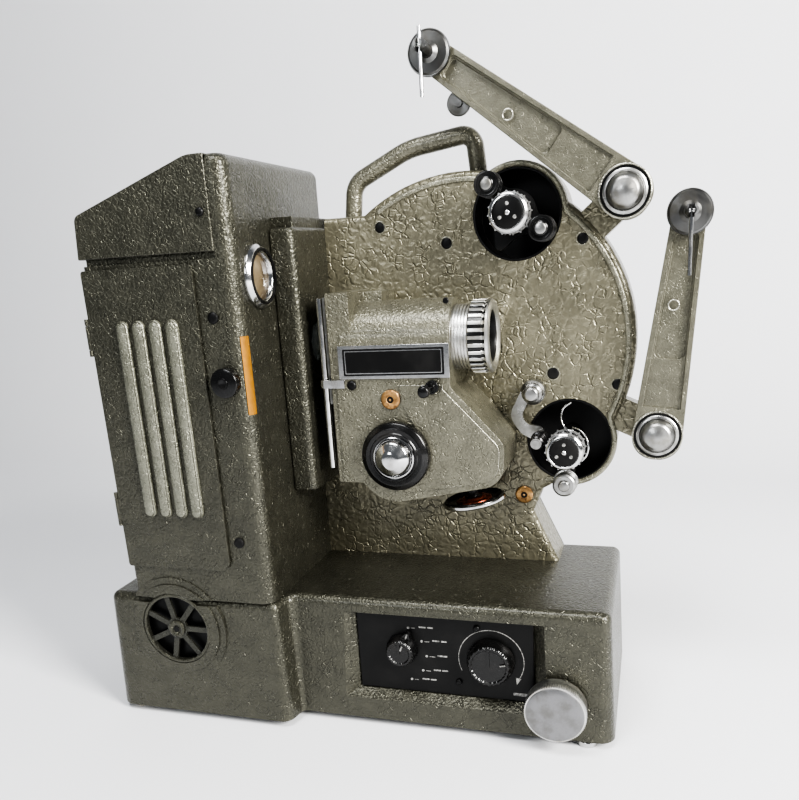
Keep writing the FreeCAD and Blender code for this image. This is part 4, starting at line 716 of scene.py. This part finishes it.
knobs = {"selector_knob": {"radius": 9.6, "lean": 68}, "speed_knob": {"radius": 14.2, "lean": 12}}
for name, knob in knobs.items():
    radius, face = knob["radius"], faceY(name)
    turnedPiece(name + "Grip", spot(axisAt[name][0], face + 7.6, axisAt[name][1]), front,
                [(0, radius - 0.8), (0.3, radius + 0.2), (6.4, radius - 0.2), (7.2, radius - 0.9),
                 (7.4, radius - 2.2), (6.6, radius - 3.0)], "bakelite", bodyOf[name], 240, knobFlutes)
    bar = ((radius - 2.8, 0.5), (radius - 6.6, 0.5), (radius - 6.6, -0.5), (radius - 2.8, -0.5))
    flatPiece(name + "Mark", leaning(name, knob["lean"], bar), face, 0.15, "print", bodyOf[name])
for name, shape, back, thick, finish in (
        ("selectorPointer", ((5.0, 6.5), (5.0, -6.5), (14.6, -1.3), (15.2, 0), (14.6, 1.3)), 1.2, 4.2,
         "bakelite"),
        ("selectorMark", ((10.4, 0.45), (10.4, -0.45), (14.2, -0.4), (14.2, 0.4)), 5.35, 0.14, "print")):
    flatPiece(name, leaning("selector_knob", knobs["selector_knob"]["lean"], shape), panelFace - back,
              thick, finish, bodyOf["selector_knob"])

tiltFace = faceY("tilt_knob")
tiltX, tiltZ = axisAt["tilt_knob"]


def knurl(count, depth):
    return lambda angle: 1 + depth * (0.5 + 0.5 * np.cos(count * angle))


# a knurled grip round the tilt knob's head, and a domed brushed face laid over its front
turnedPiece("tiltGrip", spot(tiltX, tiltFace + 9.6, tiltZ), front,
            [(0, 17.0), (0.2, 19.2), (0.9, 19.7), (7.6, 19.7), (8.4, 19.2), (8.6, 17.4)], "turnedY",
            bodyOf["tilt_knob"], 400, knurl(80, 0.016))
turnedPiece("tiltFace", spot(tiltX, tiltFace + 0.9, tiltZ), front,
            [(0, 18.6), (0.5, 17.9), (0.95, 14), (1.25, 8), (1.4, 3), (1.42, 0)], "brushed",
            bodyOf["tilt_knob"], 160)

castBody = bodyOf["main_casting"]
plateY = 109.6  # how far back the main casting's front plate lies
disc = {"x": 251.0, "z": 246.0, "rim": 109.6}
bumps = ((*axisAt["upper_sprocket"], 31.2), (*axisAt["lower_sprocket"], 30.5))


def rimReach(angle):
    # the farthest way out of three circles, seen from the disc's middle: d cos + root(r^2 - d^2 sin^2)
    reach = np.full_like(angle, disc["rim"])
    for x, z, radius in bumps:
        away, towards = math.hypot(x - disc["x"], z - disc["z"]), math.atan2(z - disc["z"], x - disc["x"])
        inside = radius ** 2 - (away * np.sin(angle - towards)) ** 2
        found = away * np.cos(angle - towards) + np.sqrt(np.maximum(inside, 0))
        reach = np.where((inside > 0) & (np.cos(angle - towards) > 0), np.maximum(reach, found), reach)
    return reach


def rimBead():
    angle = np.radians(np.linspace(122, -60, 500))
    reach = np.convolve(np.pad(rimReach(angle), 4, "edge"), np.full(9, 1 / 9), "valid")
    path = [list(spot(disc["x"] + r * math.cos(a), plateY - 0.1, disc["z"] + r * math.sin(a)))
            for r, a in zip(reach, angle)]
    turn = np.linspace(0, np.pi, 9)
    section = [(1.9 * math.cos(a), 1.25 * math.sin(a)) for a in turn] + [(-1.9, -0.5), (1.9, -0.5)]
    # the bead takes the lighter plate paint: painted highlight along the rim
    sweptPiece("rimBead", path, section, "plateEdge", castBody, (0, -1, 0))


rimBead()
for n, (x, z, radius) in enumerate(((193.5, 329.3, 3.5), (240.4, 316, 3.7), (330.7, 313.4, 3.5),
                                    (311.4, 226.7, 4.0), (354.1, 218.6, 3.5))):
    # the collars take the lighter plate paint: painted highlight on their rims
    turnedPiece("plateCollar%d" % n, spot(x, plateY, z), front,
                [(-1, radius + 0.5), (0.25, radius + 0.9), (0.35, radius + 0.2), (-0.3, radius - 0.2),
                 (-1, radius - 0.2)], "plateEdge", castBody, 48)
    button("platePlug%d" % n, x, z, plateY + 0.2, radius - 0.1, 0.6, "black", castBody, dome=0.25)
    # a chrome dot on each dark plug, put there for the glint: painted glint
    button("platePlugEye%d" % n, x, z, plateY - 0.35, 0.8, 0.2, "chrome", castBody)
for name, x, y, z, radius, body in (("castingPlug", 290.4, plateY - 1.0, 139.9, 6.0, castBody),
                                    ("gatePlug", 210.8, 56.0, 219.0, 6.2, bodyOf["gate_casting"])):
    turnedPiece(name, spot(x, y, z), front,
                [(-0.6, radius + 0.1), (0.2, radius + 0.35), (0.7, radius - 0.2), (0.95, radius - 1.2),
                 (1.2, 2.6), (0.75, 2.0), (0.7, 1.0), (1.05, 0.8), (1.1, 0)], "brass", body, 72)

plateFace = faceY("name_plate")
flatPiece("nameField", rectangle(179.6, 235.2, 248.6, 252.8, 0.6), plateFace, 0.3, "black",
          bodyOf["name_plate"])


def frameLine():
    # a thin bright line a little inside the name field's edge
    outer, inner = (np.array(rectangle(l, b, r, t, 0.5)) for l, b, r, t in
                    ((180.9, 236.4, 247.3, 251.6), (181.5, 237.0, 246.7, 251.0)))
    count = len(outer)
    rows = [(outer, 0.25), (outer, 0.45), (inner, 0.45), (inner, 0.25)]
    points = [[list(spot(x, plateFace - lift, z)) for x, z in ring] for ring, lift in rows]
    squareUp(newPiece("nameLine", np.array(points), gridFaces(4, count, True, True), "chrome",
                      bodyOf["name_plate"]), 30)


frameLine()
screw("gateScrew", 250.4, 281.0, 60.0, 1.9, "black", bodyOf["gate_casting"])
knobBody = bodyOf["inching_knob"]
knobFace = faceY("inching_knob")
knobX, knobZ = axisAt["inching_knob"]
turnedPiece("inchingBand", spot(knobX, knobFace + 0.6, knobZ), front,
            [(-0.6, 14.0), (0.5, 14.2), (0.95, 14.9), (0.9, 16.2), (0.3, 16.8), (-0.6, 16.8)], "bakelite",
            knobBody, 128)
turnedPiece("domeWasher", spot(knobX, knobFace - 0.2, knobZ), front,
            [(-0.6, 13.0), (0.4, 13.2), (0.6, 13.6), (0.4, 14.1), (-0.6, 14.2)], "chrome", knobBody, 128)

lensMiddle = {"y": 83.0, "z": 256.0}


def focusRing():
    # rows (x, radius, rib height, kind): kind 0 is bright, 1 ribbed bright and black, 2 black inside
    flutes, steps = 30, 12
    angle = np.linspace(0, 2 * np.pi, flutes * steps, endpoint=False)
    high = 0.5 + 0.5 * np.tanh(6 * np.sin(flutes * angle))
    rows = [(262.4, 21.6, 0, 0), (262.4, 22.6, 0, 0), (263.0, 22.9, 0.2, 1), (263.6, 22.9, 1.1, 1),
            (271.8, 22.9, 1.1, 1), (272.4, 22.8, 0.2, 1), (272.8, 22.9, 0, 1), (274.4, 23.9, 0, 0),
            (275.6, 23.7, 0, 0), (276.6, 22.4, 0, 0), (277.0, 21.2, 0, 0), (276.8, 19.4, 0, 0),
            (276.2, 18.2, 0, 2), (270.0, 17.2, 0, 2), (264.0, 17.2, 0, 2)]
    points = []
    for x, radius, lift, _ in rows:
        r = radius + lift * high
        points.append([list(spot(x, lensMiddle["y"] - reach * math.sin(a),
                                 lensMiddle["z"] + reach * math.cos(a)))
                       for reach, a in zip(r, angle)])
    ring = newPiece("focusGrip", np.array(points), gridFaces(len(rows), len(angle), wrapColumns=True),
                    ["turnedX", "bakelite", "black"], bodyOf["focus_ring"], 0)
    kind = np.zeros((len(rows) - 1, len(angle)), np.int32)
    between = 0.5 * (high + np.roll(high, -1))
    for i in range(len(rows) - 1):
        tag = rows[i][3]
        kind[i] = np.where(between < 0.5, 1, 0) if tag == 1 else tag
    ring.data.polygons.foreach_set("material_index", kind.ravel())
    squareUp(ring, 32)
    return ring


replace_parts(focusRing(), "focus_ring")
turnedPiece("lensMount", spot(276.0, lensMiddle["y"], lensMiddle["z"]), (1, 0, 0),
            [(-6.0, 15.0), (-2.5, 15.2), (-1.4, 15.9), (-1.2, 17.0), (-2.6, 17.1), (-6.0, 17.1)], "black",
            bodyOf["focus_ring"], 128)

lean = math.radians(-9)  # the framing wheel leans to the left
wheel = {"foot": spot(259.5, 83.0, 141.0), "axis": (math.sin(lean), 0, math.cos(lean))}
turnedPiece("framingRim", wheel["foot"], wheel["axis"],
            [(0.5, 20.2), (0.3, 20.9), (1.2, 22.0), (2.3, 22.2), (3.2, 22.0), (3.5, 21.3), (2.4, 20.9)],
            "chrome", bodyOf["framing_wheel"], 160)
turnedPiece("framingHub", wheel["foot"], wheel["axis"],
            [(2.0, 6.2), (2.0, 12.6), (3.0, 12.4), (3.5, 11.4), (3.6, 8.6), (4.7, 7.6), (4.9, 6.8),
             (4.4, 6.2)], "copper", bodyOf["framing_wheel"], 96)


def teeth(angle):
    # 16 teeth with flat tops
    return 1 + 0.07 * np.clip(np.cos(16 * angle) * 4 - 2.6, 0, 1)


for name in ("upper_sprocket", "lower_sprocket"):
    body = bodyOf[name]
    x, z = axisAt[name]
    face = faceY(name)
    for k, back in enumerate((3.4, 15.2)):
        turnedPiece(name + "Teeth%d" % k, spot(x, face + back + 1.2, z), front,
                    [(0, 11.2), (0, 12.3), (0.3, 12.5), (1.0, 12.5), (1.3, 12.3), (1.3, 11.2)], "steel",
                    body, 288, teeth)
    turnedPiece(name + "Ring", spot(x, face + 0.5, z), front,
                [(-0.8, 9.2), (0.4, 9.4), (0.8, 9.9), (0.7, 10.9), (0.1, 11.6), (-0.8, 11.7)], "chrome",
                body, 128)
    turnedPiece(name + "Nose", spot(x, face + 0.3, z), front,
                [(-0.5, 0), (-0.5, 9.3), (0.9, 9.1), (1.2, 8.4), (1.3, 3.0), (1.3, 0)], "black", body, 96)
    button(name + "Pin", x, z, face - 1.0, 1.5, 0.9, "chrome", body, dome=0.3)
    for k in range(3):
        a = math.radians(90 + 120 * k)
        flatPiece(name + "Spot%d" % k, circle(x + 5.4 * math.cos(a), z + 5.4 * math.sin(a), 1.15, 20),
                  face - 0.95, 0.12, "print", body)


def lobedBracket():
    # radius about the sprocket: a round middle with three lobes reaching to the rollers and the stud
    angle = np.linspace(0, 2 * np.pi, 200, endpoint=False)
    reach = np.full_like(angle, 15.0)
    for towards, size in ((127, 10.5), (-28, 10.5), (-115, 9.0)):
        gap = (angle - math.radians(towards) + np.pi) % (2 * np.pi) - np.pi
        reach += size * np.exp(-(gap / 0.30) ** 2)
    x, z = axisAt["upper_sprocket"]
    outline = [(x + r * math.cos(a), z + r * math.sin(a)) for r, a in zip(reach, angle)]
    flatPiece("rollerBracket", outline, 97.5, 3.4, "black", castBody)


lobedBracket()
for name in ("upper_roller_left", "upper_roller_right"):
    low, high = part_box(name)
    reach = (high.x - low.x) * 500
    at = Vector(((low.x + high.x) / 2, low.y, (low.z + high.z) / 2))
    turnedPiece(name + "Rim", at, front, [(-1.0, reach - 2.6), (0.35, reach - 2.2), (0.55, reach - 1.2),
                                          (0.2, reach - 0.4), (-1.0, reach - 0.4)], "bakelite",
                bodyOf[name], 80)
    spotX, spotY, spotZ = (at - baseCorner) * 1000
    button(name + "Cap", spotX, spotZ, spotY, 4.4, 1.3, "bakelite", bodyOf[name], dome=0.8)


def springWire(name, places):
    path = curveThrough([spot(*place) for place in places], 90)
    sweptPiece(name, path, roundSection(0.55, 12), "chrome", castBody, (0, 1, 0))


springWire("springUpper", [(325.5, 88, 210.5), (320.5, 88, 206.5), (319.2, 87, 201), (320.5, 86, 196),
                           (324, 85, 192.6), (328, 84, 192)])
springWire("springSide", [(327, 84, 194.5), (332, 80, 193.5), (336.2, 77, 189.5), (337.8, 76, 183.5),
                          (336.6, 76, 177.5), (333.5, 77, 173.5)])

# the arms' hubs, round marks and spindle tips, (x, z) in millimetres
arms = {"upper": {"hub": (357.0, 339.0), "mark": (286, 389), "tip": (238.8, 428.0)},
        "lower": {"hub": (380.5, 187.0), "mark": (387.6, 270), "tip": (394.9, 324.2)}}
for side, arm in arms.items():
    (x, z), mark, (tipX, tipZ) = arm["hub"], arm["mark"], arm["tip"]
    armBody = bodyOf[side + "_reel_arm"]
    armY = faceY(side + "_reel_arm")
    turnedPiece(side + "HubRing", spot(x, armY, z), front,
                [(-1.2, 11.0), (1.3, 11.1), (1.7, 11.6), (1.5, 12.6), (0.9, 13.4), (-1.2, 13.5)],
                "satinSteel", armBody, 128)
    # a black ring sunk between hub ring and edge: painted shade in the groove
    turnedPiece(side + "HubGrooveShade", spot(x, armY, z), front,
                [(-0.6, 13.4), (0.3, 13.4), (0.4, 14.0), (0.3, 14.9), (-0.6, 15.0)], "black", armBody,
                128)
    # the hub edge in lighter paint: painted highlight on its rim
    turnedPiece(side + "HubEdge", spot(x, armY, z), front,
                [(-0.6, 15.0), (0.6, 15.1), (0.85, 15.5), (0.6, 16.1), (-0.6, 16.2)], "armEdge", armBody,
                128)
    # the mark ring in lighter paint: painted highlight on its rim
    turnedPiece(side + "ArmMark", spot(mark[0], armY + 0.35, mark[1]), front,
                [(-0.5, 2.7), (0.3, 2.8), (0.5, 3.2), (0.3, 3.6), (-0.5, 3.7)], "armEdge", armBody, 64)
    discBody = bodyOf[side + "_spindle"]
    turnedPiece(side + "DiscKnurl", spot(tipX, 92.0, tipZ), front,
                [(-0.1, 12.4), (-0.1, 13.0), (0.2, 13.2), (2.8, 13.2), (3.1, 13.0), (3.1, 12.4)],
                "agedDisc", discBody, 480, knurl(80, 0.022))
turnedPiece("idlerDisc", spot(252.9, 109.0, 400.6), front,
            [(0, 0), (0, 6.6), (0.6, 7.6), (2.4, 7.8), (3.0, 7.2), (3.0, 2.6), (4.4, 2.4), (4.4, 0)],
            "agedDisc", bodyOf["upper_reel_arm"], 80)
rearY = (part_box("rear_cover")[1].y - baseCorner.y) * 1000
for n, (x, z) in enumerate(((168, 300), (163, 170), (251, 351), (340, 300), (342, 190), (300, 104),
                            (166, 104))):
    turnedPiece("rearScrew%d" % n, spot(x, rearY, z), (0, 1, 0),
                [(-0.3, 0), (-0.3, 3.2), (0.7, 3.2), (1.1, 2.6), (1.3, 1.5), (0.6, 1.3), (0.6, 0)],
                "steel", bodyOf["rear_cover"], 48)
print("details made")

view = {
    "place": spot(375.9, -446.55, 307.38), "turn": 0.31436, "dip": 0.29547, "lean": -0.06347,
    "focal": 36.0675845, "shiftUp": 0.130162703,
}


def camera():
    turn, dip, lean = view["turn"], view["dip"], view["lean"]
    ahead = Vector((-math.sin(turn) * math.cos(dip), math.cos(turn) * math.cos(dip), -math.sin(dip)))
    right = Vector((math.cos(turn), math.sin(turn), 0))
    up = right.cross(ahead)
    right, up = (math.cos(lean) * right + math.sin(lean) * up,
                 -math.sin(lean) * right + math.cos(lean) * up)
    data = bpy.data.cameras.new("view")
    data.sensor_width = 36
    data.lens = view["focal"]
    data.shift_y = view["shiftUp"]
    data.clip_start = 0.01
    eye = bpy.data.objects.new("view", data)
    bpy.context.collection.objects.link(eye)
    eye.matrix_world = Matrix.Translation(view["place"]) @ Matrix((right, up,
                                                                   -ahead)).transposed().to_4x4()
    bpy.context.scene.camera = eye


def softLight(name, place, aim, size, power, colour):
    data = bpy.data.lights.new(name, "AREA")
    data.shape = "RECTANGLE"
    data.size, data.size_y = size
    data.energy = power
    data.color = colour
    lamp = bpy.data.objects.new(name, data)
    bpy.context.collection.objects.link(lamp)
    lamp.location = place
    lamp.rotation_euler = (Vector(aim) - Vector(place)).to_track_quat("-Z", "Y").to_euler()


studio = {"near": -2.5, "bend": 0.62, "radius": 0.3, "height": 3, "half": 4}


def room():
    # floor and wall in one sheet: flat, then a quarter bend, then upright
    radius, flat, curve, upright, columns = studio["radius"], 12, 12, 6, 9
    turn = np.linspace(0.1, np.pi / 2, curve)
    depth = np.concatenate([np.linspace(studio["near"], studio["bend"], flat),
                            studio["bend"] + radius * np.sin(turn),
                            np.full(upright, studio["bend"] + radius)])
    height = np.concatenate([np.zeros(flat), radius - radius * np.cos(turn),
                             np.linspace(0.6, studio["height"], upright)])
    rows = len(depth)
    across = np.linspace(-studio["half"], studio["half"], columns)
    points = np.stack([np.repeat(across[None], rows, 0), np.repeat(depth[:, None], columns, 1),
                       np.repeat(height[:, None], columns, 1)], 2)
    mesh = bpy.data.meshes.new("studioSweep")
    mesh.from_pydata(points.reshape(-1, 3).tolist(), [], gridFaces(rows, columns)[:, ::-1].tolist())
    mesh.shade_smooth()
    sweep = bpy.data.objects.new("studioSweep", mesh)
    bpy.context.collection.objects.link(sweep)
    pale = Finish("paleStudio", **{"Roughness": 0.75, "Specular IOR Level": 0.2})
    tone = pale.noise(400, 3)
    pale.set({"Base Color": pale.blend(tone, (0.72, 0.73, 0.75), (0.78, 0.785, 0.8))})
    mesh.materials.append(pale.material)
    world = bpy.data.worlds.new("studio")
    world.use_nodes = True
    world.node_tree.nodes["Background"].inputs[0].default_value = (0.9, 0.95, 1.0, 1)
    world.node_tree.nodes["Background"].inputs[1].default_value = 0.17
    bpy.context.scene.world = world


heart = middle("main_casting")
camera()
room()
softLight("window", (1.35, -0.72, 0.95), heart, (0.5, 0.8), 68, (1.0, 0.98, 0.95))
softLight("frontFill", (-0.5, -1.5, 0.9), heart, (0.35, 0.5), 6, (0.95, 0.97, 1.0))
softLight("top", (-0.1, -0.55, 1.45), heart, (0.7, 0.45), 14, (1, 1, 1))
bpy.context.scene.view_settings.view_transform = "AgX"
bpy.context.scene.view_settings.look = "AgX - High Contrast"
print("room ready")
